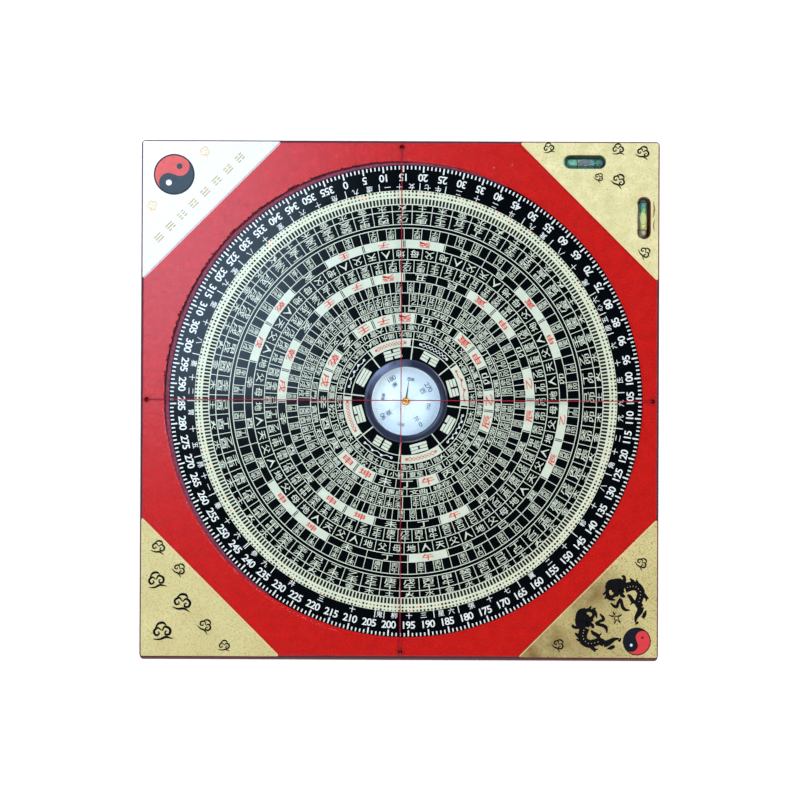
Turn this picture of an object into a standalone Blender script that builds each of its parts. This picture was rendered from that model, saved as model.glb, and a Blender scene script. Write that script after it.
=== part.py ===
"""Feng shui compass: a square lacquered board with a round dial that turns in its well.

The board is two glued layers. The upper layer is open over the dial and has pockets for two
spirit vials. The dial carries a compass capsule: case, card, pivot, glass and bezel, with a
needle that swings on the pivot. Two taut threads cross over the dial and end in knots below.
The model stands on Z = 0, centred on the board, in metres, with +Z up and +Y away from the user.
"""

import math

import bmesh
import bpy
from mathutils import Matrix, Vector

# Clearances
CLEARANCE = 0.0003
THIN_CLEARANCE = 0.0002
CUT_OVERRUN = 0.002
MERGE_DISTANCE = 0.0000001

# Board
BOARD_SIDE = 0.215
BOARD_CORNER_RADIUS = 0.0014
BOARD_CHAMFER = 0.0005
BASE_THICKNESS = 0.006
FRAME_THICKNESS = 0.0097
FINGER_HOLE_RADIUS = 0.015
FINGER_HOLE_CHAMFER = 0.001

# Well for the dial
WELL_RIM_WIDTH = 0.0083
WELL_CENTRE_X = 0.0018
WELL_CENTRE_Y = -0.0004
WELL_LIP_CHAMFER = 0.0004

# Dial
DIAL_PLAY = 0.0011
DIAL_LEAN_ANGLE = math.radians(-20.0)
DIAL_RECESS = 0.0008
DIAL_CHAMFER = 0.0005
DIAL_FLOOR = 0.0016
FACE_THICKNESS = 0.0005

# Compass capsule
CAPSULE_RADIUS = 0.0166
CAPSULE_WALL = 0.0011
CAPSULE_FLOOR = 0.001
CAPSULE_RIM_CHAMFER = 0.0002
BEZEL_WIDTH = 0.0028
BEZEL_OVERLAP = 0.0007
BEZEL_PROUD = 0.0005
BEZEL_LIP = 0.0005
BEZEL_ROUND = 0.0003
GLASS_THICKNESS = 0.0007
GLASS_LEDGE_SHARE = 0.25
CARD_THICKNESS = 0.0004
CARD_HOLE_RADIUS = 0.001

# Needle
NEEDLE_HALF_LENGTH = 0.0107
NEEDLE_HALF_WIDTH = 0.0004
NEEDLE_THICKNESS = 0.0003
NEEDLE_BOSS_RADIUS = 0.0016
NEEDLE_HEADING = math.radians(-7.6)
CAP_RADIUS = 0.0017
CAP_HUB_RADIUS = 0.0008
CAP_HUB_DEPTH = 0.0004
CAP_HEIGHT = 0.0008
CAP_CUP_RADIUS = 0.00062
CAP_HEADROOM = 0.0006
CAP_CROWN = 0.0004
HUB_CLEARANCE = 0.0001
PIVOT_SHANK_RADIUS = 0.0003
PIVOT_FOOT_RADIUS = 0.0009
PIVOT_POINT_LENGTH = 0.0012
PIVOT_TIP_RADIUS = 0.00005

# Corner plates
PLATE_LEG = 0.0578
PLATE_THICKNESS = 0.0004
PLATE_EDGE_INSET = 0.0005
PLATE_TIP_RADIUS = 0.0006

# Spirit vials, which lie in the corner at +X +Y
VIAL_RADIUS = 0.0023
VIAL_LENGTH = 0.0166
VIAL_WALL = 0.0005
VIAL_DEPTH = 0.0004
VIAL_PLAY = 0.0006
VIAL_PLUG_SPIGOT = 0.0015
BUBBLE_LENGTH = 0.0056
BUBBLE_WIDTH = 0.003
BUBBLE_DROP = 0.0014
VIAL_X_EDGE_INSET = 0.0085
VIAL_X_PLATE_SHARE = 0.53
VIAL_Y_EDGE_INSET = 0.0065
VIAL_Y_PLATE_SHARE = 0.54

# Threads and their knots
THREAD_RADIUS = 0.00025
THREAD_BEND_RADIUS = 0.0011
THREAD_EDGE_INSET = 0.0025
THREAD_CROSS_X = 0.0005
THREAD_CROSS_Y = -0.0005
THREAD_HOLE_RADIUS = 0.0008
THREAD_HOLE_COUNTERSINK = 0.0004
KNOT_POCKET_RADIUS = 0.0016
KNOT_POCKET_DEPTH = 0.0033
KNOT_RADIUS = 0.0012
KNOT_HEIGHT = 0.0022
THREAD_TAIL = 0.0006

# Facets
BIG_ROUND_SIDES = 128
CAPSULE_SIDES = 64
SMALL_ROUND_SIDES = 24
HOLE_SIDES = 12
VIAL_SIDES = 20
VIAL_END_STEPS = 5
SLOT_END_STEPS = 10
CORNER_STEPS = 4
LIP_STEPS = 3
KNOT_STEPS = 2
BEND_STEPS = 6
SPAN_STEPS = 24

# Places that follow from the sizes above
BOARD_HALF = BOARD_SIDE / 2
FRAME_BOTTOM = BASE_THICKNESS + CLEARANCE
BOARD_TOP = FRAME_BOTTOM + FRAME_THICKNESS
WELL_RADIUS = BOARD_HALF - WELL_RIM_WIDTH
WELL_CENTRE = Vector((WELL_CENTRE_X, WELL_CENTRE_Y))
DIAL_RADIUS = WELL_RADIUS - DIAL_PLAY
DIAL_LEAN = DIAL_PLAY - CLEARANCE
DIAL_CENTRE = WELL_CENTRE + DIAL_LEAN * Vector((math.cos(DIAL_LEAN_ANGLE), math.sin(DIAL_LEAN_ANGLE)))
DIAL_BOTTOM = BASE_THICKNESS + CLEARANCE
DIAL_TOP = BOARD_TOP - DIAL_RECESS
FACE_BOTTOM = DIAL_TOP - FACE_THICKNESS
DISC_TOP = FACE_BOTTOM - THIN_CLEARANCE
CAPSULE_BORE_RADIUS = CAPSULE_RADIUS + CLEARANCE
CAPSULE_BORE_FLOOR = DIAL_BOTTOM + DIAL_FLOOR
BEZEL_TOP = DIAL_TOP + BEZEL_PROUD
GLASS_TOP = BEZEL_TOP - BEZEL_LIP - THIN_CLEARANCE
GLASS_BOTTOM = GLASS_TOP - GLASS_THICKNESS
CASE_TOP = GLASS_BOTTOM - THIN_CLEARANCE
CASE_BOTTOM = CAPSULE_BORE_FLOOR + CLEARANCE
CASE_INNER_RADIUS = CAPSULE_RADIUS - CAPSULE_WALL
CASE_FLOOR_TOP = CASE_BOTTOM + CAPSULE_FLOOR
BEZEL_RADIUS = CAPSULE_BORE_RADIUS + BEZEL_OVERLAP
GLASS_RADIUS = CASE_INNER_RADIUS + GLASS_LEDGE_SHARE * CAPSULE_WALL
CARD_BOTTOM = CASE_FLOOR_TOP + CLEARANCE
CARD_TOP = CARD_BOTTOM + CARD_THICKNESS
CAP_TOP = GLASS_BOTTOM - CAP_HEADROOM
NEEDLE_TOP = CAP_TOP - CAP_HEIGHT - HUB_CLEARANCE
NEEDLE_BOTTOM = NEEDLE_TOP - NEEDLE_THICKNESS
CAP_BOTTOM = NEEDLE_BOTTOM - CAP_HUB_DEPTH
CAP_CUP_TOP = CAP_TOP - CAP_CROWN
PIVOT_TIP = CAP_CUP_TOP - HUB_CLEARANCE
PLATE_BOTTOM = BOARD_TOP + THIN_CLEARANCE
PLATE_TOP = PLATE_BOTTOM + PLATE_THICKNESS
VIAL_AXIS_Z = BOARD_TOP - VIAL_DEPTH - VIAL_RADIUS
VIAL_POCKET_RADIUS = VIAL_RADIUS + VIAL_PLAY
VIAL_POCKET_FLOOR = VIAL_AXIS_Z - VIAL_RADIUS - CLEARANCE
VIAL_LEAN = VIAL_PLAY - CLEARANCE
VIAL_X_CORNER_DISTANCE = PLATE_EDGE_INSET + VIAL_X_PLATE_SHARE * PLATE_LEG
VIAL_Y_CORNER_DISTANCE = PLATE_EDGE_INSET + VIAL_Y_PLATE_SHARE * PLATE_LEG
THREAD_Z = BOARD_TOP + CLEARANCE + THREAD_RADIUS


def clear_scene():
    """Remove whatever the file opened with."""
    for old in list(bpy.data.objects):
        bpy.data.objects.remove(old, do_unlink=True)


def make_material(name, colour, roughness, metallic=0.0, transmission=0.0):
    """One Principled finish for one kind of piece."""
    material = bpy.data.materials.new(name)
    material.use_nodes = True
    shader = material.node_tree.nodes["Principled BSDF"]
    shader.inputs["Base Color"].default_value = (*colour, 1.0)
    shader.inputs["Roughness"].default_value = roughness
    shader.inputs["Metallic"].default_value = metallic
    shader.inputs["Transmission Weight"].default_value = transmission
    material.diffuse_color = (*colour, 1.0)
    return material


def make_finishes():
    """The finish of each piece, by the piece's node name."""
    return {
        "base_board": make_material("red_lacquer_base", (0.55, 0.015, 0.02), 0.35),
        "dial_frame": make_material("red_lacquer_frame", (0.60, 0.015, 0.02), 0.32),
        "dial_disc": make_material("black_board", (0.02, 0.02, 0.022), 0.55),
        "dial_face": make_material("black_printed_face", (0.012, 0.014, 0.02), 0.30),
        "compass_case": make_material("white_capsule", (0.80, 0.84, 0.88), 0.40),
        "compass_card": make_material("white_card", (0.88, 0.92, 0.95), 0.45),
        "compass_pivot": make_material("turned_brass_pin", (0.75, 0.52, 0.20), 0.25, 1.0),
        "compass_glass": make_material("clear_window", (0.96, 0.98, 1.0), 0.03, 0.0, 1.0),
        "compass_bezel": make_material("slate_blue_ring", (0.03, 0.05, 0.09), 0.22),
        "needle": make_material("blued_steel", (0.10, 0.10, 0.12), 0.35, 0.8),
        "needle_cap": make_material("polished_brass", (0.80, 0.50, 0.16), 0.20, 1.0),
        "corner_plate": make_material("pale_gold_foil", (0.78, 0.66, 0.42), 0.38, 0.9),
        "vial_tube": make_material("clear_acrylic", (0.95, 0.98, 0.97), 0.05, 0.0, 1.0),
        "vial_plug": make_material("grey_stopper", (0.30, 0.34, 0.32), 0.50),
        "vial_liquid": make_material("teal_spirit", (0.10, 0.42, 0.36), 0.05, 0.0, 0.6),
        "thread": make_material("red_thread", (0.60, 0.03, 0.06), 0.75),
        "thread_knot": make_material("red_knot", (0.52, 0.03, 0.05), 0.80),
    }


def add_object(name, bm, finish=None):
    """Turn a bmesh into a linked object with one finish and sharp edges kept sharp."""
    bmesh.ops.recalc_face_normals(bm, faces=bm.faces)
    mesh = bpy.data.meshes.new(name)
    bm.to_mesh(mesh)
    bm.free()
    return add_shared(name, mesh, finish)


def add_shared(name, mesh, finish=None):
    """Link an object that uses an existing mesh."""
    piece = bpy.data.objects.new(name, mesh)
    bpy.context.scene.collection.objects.link(piece)
    if finish is not None and not mesh.materials:
        mesh.materials.append(finish)
    mesh.shade_smooth()
    mesh.set_sharp_from_angle(angle=math.radians(30.0))
    return piece


def make_cutter(piece):
    """Hide a shape that only cuts others."""
    piece.hide_render = True
    piece.display_type = "WIRE"
    return piece


def cut(piece, cutters):
    """Take each cutter out of a piece."""
    for cutter in cutters:
        modifier = piece.modifiers.new("cut_" + cutter.name, "BOOLEAN")
        modifier.operation = "DIFFERENCE"
        modifier.solver = "EXACT"
        modifier.object = cutter


def turned(name, profile, sides, finish=None):
    """Revolve a closed profile of (radius, height) points round Z."""
    bm = bmesh.new()
    points = [bm.verts.new((radius, 0.0, height)) for radius, height in profile]
    edges = [bm.edges.new((a, b)) for a, b in zip(points, points[1:] + points[:1])]
    bmesh.ops.spin(
        bm, geom=points + edges, cent=(0, 0, 0), axis=(0, 0, 1),
        angle=math.tau, steps=sides, use_merge=True,
    )
    bmesh.ops.remove_doubles(bm, verts=bm.verts, dist=MERGE_DISTANCE)
    on_axis = [face for face in bm.faces if face.calc_area() <= 0.0]
    bmesh.ops.delete(bm, geom=on_axis, context="FACES")
    return add_object(name, bm, finish)


def arc(centre, radius, start, end, steps):
    """Points of an arc in a plane, both ends included, angles in radians."""
    angles = [start + (end - start) * step / steps for step in range(steps + 1)]
    return [(centre[0] + radius * math.cos(a), centre[1] + radius * math.sin(a)) for a in angles]


def rounded_outline(corners, radius, steps):
    """A convex anticlockwise outline whose corners are rounded off."""
    outline = []
    count = len(corners)
    for index, corner in enumerate(corners):
        here = Vector(corner)
        towards_last = (Vector(corners[index - 1]) - here).normalized()
        towards_next = (Vector(corners[(index + 1) % count]) - here).normalized()
        half_angle = towards_last.angle(towards_next) / 2
        bisector = (towards_last + towards_next).normalized()
        centre = here + bisector * (radius / math.sin(half_angle))
        start = -math.pi / 2 + math.atan2(-towards_last.y, -towards_last.x)
        sweep = math.pi - 2 * half_angle
        outline += arc(centre, radius, start, start + sweep, steps)
    return outline


def square_outline(side, radius):
    """The board's outline, seen from above."""
    half = side / 2
    corners = [(-half, -half), (half, -half), (half, half), (-half, half)]
    return rounded_outline(corners, radius, CORNER_STEPS)


def lofted(name, rings, finish=None):
    """Close a stack of (outline, height) rings of equal count into one solid."""
    bm = bmesh.new()
    loops = [[bm.verts.new((x, y, height)) for x, y in outline] for outline, height in rings]
    for low, high in zip(loops, loops[1:]):
        for index in range(len(low)):
            after = (index + 1) % len(low)
            bm.faces.new((low[index], low[after], high[after], high[index]))
    bm.faces.new(list(reversed(loops[0])))
    bm.faces.new(loops[-1])
    return add_object(name, bm, finish)


def chamfered_slab(name, side, radius, low, high, low_chamfer, high_chamfer, finish):
    """A square slab with rounded corners and chamfered upper and lower edges."""
    full = square_outline(side, radius)
    rings = [(full, low + low_chamfer), (full, high - high_chamfer)]
    if low_chamfer > 0:
        inset = square_outline(side - 2 * low_chamfer, radius - low_chamfer)
        rings.insert(0, (inset, low))
    if high_chamfer > 0:
        inset = square_outline(side - 2 * high_chamfer, radius - high_chamfer)
        rings.append((inset, high))
    return lofted(name, rings, finish)


def thread_hole_places():
    """Where the threads go down through the board, two on each thread."""
    reach = BOARD_HALF - THREAD_EDGE_INSET
    return {
        "left": (-reach, THREAD_CROSS_Y),
        "right": (reach, THREAD_CROSS_Y),
        "back": (THREAD_CROSS_X, reach),
        "front": (THREAD_CROSS_X, -reach),
    }


def thread_hole_cutter(side, place):
    """A hole through both layers, countersunk above, with a pocket for the knot below."""
    mouth_radius = THREAD_HOLE_RADIUS + THREAD_HOLE_COUNTERSINK
    profile = [
        (0.0, -CUT_OVERRUN),
        (KNOT_POCKET_RADIUS, -CUT_OVERRUN),
        (KNOT_POCKET_RADIUS, KNOT_POCKET_DEPTH),
        (THREAD_HOLE_RADIUS, KNOT_POCKET_DEPTH),
        (THREAD_HOLE_RADIUS, BOARD_TOP - THREAD_HOLE_COUNTERSINK),
        (mouth_radius, BOARD_TOP),
        (mouth_radius, BOARD_TOP + CUT_OVERRUN),
        (0.0, BOARD_TOP + CUT_OVERRUN),
    ]
    cutter = make_cutter(turned("cut_thread_hole_" + side, profile, HOLE_SIDES))
    cutter.location = (*place, 0.0)
    return cutter


def well_cutter():
    """The round opening over the dial, with its lip eased."""
    profile = [
        (0.0, FRAME_BOTTOM - CUT_OVERRUN),
        (WELL_RADIUS, FRAME_BOTTOM - CUT_OVERRUN),
        (WELL_RADIUS, BOARD_TOP - WELL_LIP_CHAMFER),
        (WELL_RADIUS + WELL_LIP_CHAMFER, BOARD_TOP),
        (WELL_RADIUS + WELL_LIP_CHAMFER, BOARD_TOP + CUT_OVERRUN),
        (0.0, BOARD_TOP + CUT_OVERRUN),
    ]
    cutter = make_cutter(turned("cut_well", profile, BIG_ROUND_SIDES))
    cutter.location = (*WELL_CENTRE, 0.0)
    return cutter


def finger_hole_cutter():
    """The hole under the dial that a finger pushes through, eased below."""
    profile = [
        (0.0, -CUT_OVERRUN),
        (FINGER_HOLE_RADIUS + FINGER_HOLE_CHAMFER, -CUT_OVERRUN),
        (FINGER_HOLE_RADIUS + FINGER_HOLE_CHAMFER, 0.0),
        (FINGER_HOLE_RADIUS, FINGER_HOLE_CHAMFER),
        (FINGER_HOLE_RADIUS, BASE_THICKNESS + CUT_OVERRUN),
        (0.0, BASE_THICKNESS + CUT_OVERRUN),
    ]
    cutter = make_cutter(turned("cut_finger_hole", profile, CAPSULE_SIDES))
    cutter.location = (*WELL_CENTRE, 0.0)
    return cutter


def vial_places():
    """The centre of each vial's pocket and the angle that its length makes with +X."""
    return {
        "x": (BOARD_HALF - VIAL_X_CORNER_DISTANCE, BOARD_HALF - VIAL_X_EDGE_INSET, 0.0),
        "y": (BOARD_HALF - VIAL_Y_EDGE_INSET, BOARD_HALF - VIAL_Y_CORNER_DISTANCE, math.pi / 2),
    }


def vial_pocket_cutter(name, place):
    """A round-ended slot, open above, that clears a vial all round."""
    reach = VIAL_LENGTH / 2 - VIAL_RADIUS
    outline = arc((reach, 0.0), VIAL_POCKET_RADIUS, -math.pi / 2, math.pi / 2, SLOT_END_STEPS)
    outline += arc((-reach, 0.0), VIAL_POCKET_RADIUS, math.pi / 2, 1.5 * math.pi, SLOT_END_STEPS)
    rings = [(outline, VIAL_POCKET_FLOOR), (outline, PLATE_TOP + CUT_OVERRUN)]
    cutter = make_cutter(lofted("cut_vial_pocket_" + name, rings))
    cutter.location = (place[0], place[1], 0.0)
    cutter.rotation_euler = (0.0, 0.0, place[2])
    return cutter


def build_board(finishes):
    """Both layers of the board, with the openings that the other pieces need."""
    base = chamfered_slab(
        "base_board", BOARD_SIDE, BOARD_CORNER_RADIUS, 0.0, BASE_THICKNESS,
        BOARD_CHAMFER, 0.0, finishes["base_board"],
    )
    frame = chamfered_slab(
        "dial_frame", BOARD_SIDE, BOARD_CORNER_RADIUS, FRAME_BOTTOM, BOARD_TOP,
        0.0, BOARD_CHAMFER, finishes["dial_frame"],
    )
    holes = [thread_hole_cutter(side, place) for side, place in thread_hole_places().items()]
    pockets = [vial_pocket_cutter(name, place) for name, place in vial_places().items()]
    cut(base, [finger_hole_cutter()] + holes)
    cut(frame, [well_cutter()] + holes + pockets)
    return pockets


def build_corner_plates(finishes, pockets):
    """Four three-cornered foil plates. The one at +X +Y has a window over each vial."""
    outer = BOARD_HALF - PLATE_EDGE_INSET
    corners = [(outer, outer - PLATE_LEG), (outer, outer), (outer - PLATE_LEG, outer)]
    outline = rounded_outline(corners, PLATE_TIP_RADIUS, CORNER_STEPS)
    rings = [(outline, PLATE_BOTTOM), (outline, PLATE_TOP)]
    first = lofted("corner_plate_ne", rings, finishes["corner_plate"])
    for quarter, name in enumerate(("corner_plate_nw", "corner_plate_sw", "corner_plate_se"), 1):
        plate = add_shared(name, first.data)
        plate.rotation_euler = (0.0, 0.0, quarter * math.pi / 2)
    cut(first, pockets)


def vial_tube_profile():
    """A glass tube along Z, round and closed below, open above."""
    end = VIAL_LENGTH / 2 - VIAL_RADIUS
    bore = VIAL_RADIUS - VIAL_WALL
    outside = arc((0.0, -end), VIAL_RADIUS, -math.pi / 2, 0.0, VIAL_END_STEPS)
    inside = arc((0.0, -end), bore, 0.0, -math.pi / 2, VIAL_END_STEPS)
    return outside + [(VIAL_RADIUS, end), (bore, end)] + inside


def vial_plug_profile():
    """A domed stopper whose spigot stands in the mouth of the tube."""
    end = VIAL_LENGTH / 2 - VIAL_RADIUS
    seat = end + THIN_CLEARANCE
    spigot_radius = VIAL_RADIUS - VIAL_WALL - HUB_CLEARANCE
    dome_radius = VIAL_RADIUS - THIN_CLEARANCE
    dome = arc((0.0, seat), dome_radius, 0.0, math.pi / 2, VIAL_END_STEPS)
    return [(0.0, end - VIAL_PLUG_SPIGOT), (spigot_radius, end - VIAL_PLUG_SPIGOT), (spigot_radius, seat)] + dome


def vial_liquid_profile():
    """The spirit: it fills the tube from its round end up to the stopper."""
    end = VIAL_LENGTH / 2 - VIAL_RADIUS
    radius = VIAL_RADIUS - VIAL_WALL - HUB_CLEARANCE
    level = end - VIAL_PLUG_SPIGOT - HUB_CLEARANCE
    round_end = arc((0.0, -end), radius, -math.pi / 2, 0.0, VIAL_END_STEPS)
    return round_end + [(radius, level), (0.0, level)]


def bubble_cutter(name):
    """The air bubble under the top of the tube: a long egg shape, worked out in the vial's frame."""
    bm = bmesh.new()
    half_sizes = (BUBBLE_WIDTH / 2, BUBBLE_WIDTH / 2, BUBBLE_LENGTH / 2)
    bmesh.ops.create_uvsphere(bm, u_segments=VIAL_SIDES, v_segments=VIAL_END_STEPS * 2, radius=1.0)
    bmesh.ops.scale(bm, vec=half_sizes, verts=bm.verts)
    return make_cutter(add_object("cut_bubble_" + name, bm))


def lay_vial_piece(piece, place, raised=0.0):
    """Lay a piece that was turned round Z along its pocket, against the pocket's lower or left wall."""
    along = Matrix.Rotation(place[2], 4, "Z") @ Matrix.Rotation(math.pi / 2, 4, "Y")
    lean_x = -VIAL_LEAN * math.sin(place[2])
    lean_y = -VIAL_LEAN * math.cos(place[2])
    at = Matrix.Translation((place[0] + lean_x, place[1] + lean_y, VIAL_AXIS_Z + raised))
    piece.matrix_world = at @ along


def build_vials(finishes):
    """Two spirit vials: tube, stopper and liquid with its bubble."""
    liquid_radius = VIAL_RADIUS - VIAL_WALL - HUB_CLEARANCE
    bubble_height = liquid_radius - BUBBLE_DROP + BUBBLE_WIDTH / 2
    for name, place in vial_places().items():
        tube = turned("vial_tube_" + name, vial_tube_profile(), VIAL_SIDES, finishes["vial_tube"])
        plug = turned("vial_plug_" + name, vial_plug_profile(), VIAL_SIDES, finishes["vial_plug"])
        liquid = turned("vial_liquid_" + name, vial_liquid_profile(), VIAL_SIDES, finishes["vial_liquid"])
        bubble = bubble_cutter(name)
        lay_vial_piece(tube, place)
        lay_vial_piece(plug, place)
        lay_vial_piece(liquid, place)
        lay_vial_piece(bubble, place, bubble_height)
        cut(liquid, [bubble])


def place_on_dial(piece):
    """Put a piece that was turned round Z on the dial's own axis."""
    piece.location = (*DIAL_CENTRE, 0.0)
    return piece


def build_dial(finishes):
    """The turning disc and the printed face that lies on it."""
    disc_profile = [
        (0.0, DIAL_BOTTOM),
        (DIAL_RADIUS - DIAL_CHAMFER, DIAL_BOTTOM),
        (DIAL_RADIUS, DIAL_BOTTOM + DIAL_CHAMFER),
        (DIAL_RADIUS, DISC_TOP),
        (CAPSULE_BORE_RADIUS, DISC_TOP),
        (CAPSULE_BORE_RADIUS, CAPSULE_BORE_FLOOR),
        (0.0, CAPSULE_BORE_FLOOR),
    ]
    face_profile = [
        (CAPSULE_BORE_RADIUS, FACE_BOTTOM),
        (DIAL_RADIUS, FACE_BOTTOM),
        (DIAL_RADIUS, DIAL_TOP - THIN_CLEARANCE),
        (DIAL_RADIUS - THIN_CLEARANCE, DIAL_TOP),
        (CAPSULE_BORE_RADIUS, DIAL_TOP),
    ]
    place_on_dial(turned("dial_disc", disc_profile, BIG_ROUND_SIDES, finishes["dial_disc"]))
    place_on_dial(turned("dial_face", face_profile, BIG_ROUND_SIDES, finishes["dial_face"]))


def build_capsule(finishes):
    """The compass capsule, from its case up to the bezel that holds the glass down."""
    case_profile = [
        (0.0, CASE_BOTTOM),
        (CAPSULE_RADIUS - CAPSULE_RIM_CHAMFER, CASE_BOTTOM),
        (CAPSULE_RADIUS, CASE_BOTTOM + CAPSULE_RIM_CHAMFER),
        (CAPSULE_RADIUS, CASE_TOP),
        (CASE_INNER_RADIUS, CASE_TOP),
        (CASE_INNER_RADIUS, CASE_FLOOR_TOP),
        (0.0, CASE_FLOOR_TOP),
    ]
    card_profile = [
        (CARD_HOLE_RADIUS + CLEARANCE, CARD_BOTTOM),
        (CASE_INNER_RADIUS - CLEARANCE, CARD_BOTTOM),
        (CASE_INNER_RADIUS - CLEARANCE, CARD_TOP),
        (CARD_HOLE_RADIUS + CLEARANCE, CARD_TOP),
    ]
    glass_profile = [
        (0.0, GLASS_BOTTOM),
        (GLASS_RADIUS, GLASS_BOTTOM),
        (GLASS_RADIUS, GLASS_TOP),
        (0.0, GLASS_TOP),
    ]
    window = BEZEL_RADIUS - BEZEL_WIDTH
    skirt_inside = GLASS_RADIUS + THIN_CLEARANCE
    lip_bottom = BEZEL_TOP - BEZEL_LIP
    round_out = (BEZEL_RADIUS - BEZEL_ROUND, BEZEL_TOP - BEZEL_ROUND)
    round_in = (window + BEZEL_ROUND, BEZEL_TOP - BEZEL_ROUND)
    flange_bottom = DIAL_TOP + THIN_CLEARANCE
    bezel_profile = [
        (window, lip_bottom),
        (skirt_inside, lip_bottom),
        (skirt_inside, CASE_TOP + THIN_CLEARANCE),
        (CAPSULE_RADIUS, CASE_TOP + THIN_CLEARANCE),
        (CAPSULE_RADIUS, flange_bottom),
        (BEZEL_RADIUS, flange_bottom),
    ]
    bezel_profile += arc(round_out, BEZEL_ROUND, 0.0, math.pi / 2, LIP_STEPS)
    bezel_profile += arc(round_in, BEZEL_ROUND, math.pi / 2, math.pi, LIP_STEPS)
    place_on_dial(turned("compass_case", case_profile, CAPSULE_SIDES, finishes["compass_case"]))
    place_on_dial(turned("compass_card", card_profile, CAPSULE_SIDES, finishes["compass_card"]))
    place_on_dial(turned("compass_glass", glass_profile, CAPSULE_SIDES, finishes["compass_glass"]))
    place_on_dial(turned("compass_bezel", bezel_profile, CAPSULE_SIDES, finishes["compass_bezel"]))


def build_pivot(finishes):
    """The pin that stands on the case floor, through the card, and carries the needle."""
    bottom = CASE_FLOOR_TOP + CLEARANCE
    profile = [
        (0.0, bottom),
        (PIVOT_FOOT_RADIUS, bottom),
        (PIVOT_FOOT_RADIUS, CARD_TOP),
        (PIVOT_SHANK_RADIUS, CARD_TOP + PIVOT_FOOT_RADIUS / 2),
        (PIVOT_SHANK_RADIUS, PIVOT_TIP - PIVOT_POINT_LENGTH),
        (PIVOT_TIP_RADIUS, PIVOT_TIP),
        (0.0, PIVOT_TIP),
    ]
    place_on_dial(turned("compass_pivot", profile, SMALL_ROUND_SIDES, finishes["compass_pivot"]))


def needle_outline():
    """A slim lozenge along Y that swells to a round boss in the middle."""
    flank = math.asin(NEEDLE_HALF_WIDTH / NEEDLE_BOSS_RADIUS)
    steps = SMALL_ROUND_SIDES // 4
    right = arc((0.0, 0.0), NEEDLE_BOSS_RADIUS, flank - math.pi / 2, math.pi / 2 - flank, steps)
    left = [(-x, -y) for x, y in right]
    return [(0.0, -NEEDLE_HALF_LENGTH)] + right + [(0.0, NEEDLE_HALF_LENGTH)] + left


def build_needle(finishes):
    """The magnetised needle and the brass cap that it hangs from, both on the needle's axis."""
    outline = needle_outline()
    needle = lofted("needle", [(outline, NEEDLE_BOTTOM), (outline, NEEDLE_TOP)], finishes["needle"])
    hole_radius = CAP_HUB_RADIUS + HUB_CLEARANCE
    hole_profile = [
        (0.0, NEEDLE_BOTTOM - CUT_OVERRUN),
        (hole_radius, NEEDLE_BOTTOM - CUT_OVERRUN),
        (hole_radius, NEEDLE_TOP + CUT_OVERRUN),
        (0.0, NEEDLE_TOP + CUT_OVERRUN),
    ]
    hole = make_cutter(turned("cut_needle_hole", hole_profile, SMALL_ROUND_SIDES))
    cap_base = NEEDLE_TOP + HUB_CLEARANCE
    cap_round = CAP_HEIGHT / 2
    cap_profile = [
        (CAP_CUP_RADIUS, CAP_BOTTOM),
        (CAP_HUB_RADIUS, CAP_BOTTOM),
        (CAP_HUB_RADIUS, cap_base),
        (CAP_RADIUS, cap_base),
    ]
    cap_profile += arc((CAP_RADIUS - cap_round, CAP_TOP - cap_round), cap_round, 0.0, math.pi / 2, CORNER_STEPS)
    cap_profile += [(0.0, CAP_TOP), (0.0, CAP_CUP_TOP), (CAP_CUP_RADIUS / 3, CAP_CUP_TOP)]
    cap = turned("needle_cap", cap_profile, SMALL_ROUND_SIDES, finishes["needle_cap"])
    place_on_dial(cap)
    for piece in (needle, hole):
        place_on_dial(piece)
        piece.rotation_euler = (0.0, 0.0, NEEDLE_HEADING)
    cut(needle, [hole])


def thread_route(start, end):
    """Points of one taut thread, from the tail below its first knot to the tail below its last."""
    first = Vector((*start, 0.0))
    last = Vector((*end, 0.0))
    along = (last - first).normalized()
    up = Vector((0.0, 0.0, 1.0))
    bend_z = THREAD_Z - THREAD_BEND_RADIUS
    tail_z = KNOT_POCKET_DEPTH - CLEARANCE - KNOT_HEIGHT - THREAD_TAIL / 2
    rise = [first + up * (tail_z + (bend_z - tail_z) * step / BEND_STEPS) for step in range(BEND_STEPS)]
    bend = []
    for step in range(BEND_STEPS + 1):
        angle = math.pi / 2 * step / BEND_STEPS
        forward = THREAD_BEND_RADIUS * (1.0 - math.cos(angle))
        bend.append(first + along * forward + up * (bend_z + THREAD_BEND_RADIUS * math.sin(angle)))
    half = rise + bend
    length = (last - first).length
    over = []
    for step in range(1, SPAN_STEPS):
        reach = THREAD_BEND_RADIUS + (length - 2 * THREAD_BEND_RADIUS) * step / SPAN_STEPS
        over.append(first + along * reach + up * THREAD_Z)
    back = []
    for point in reversed(half):
        reach = (point - first).dot(along)
        back.append(last - along * reach + up * point.z)
    return half + over + back


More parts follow.
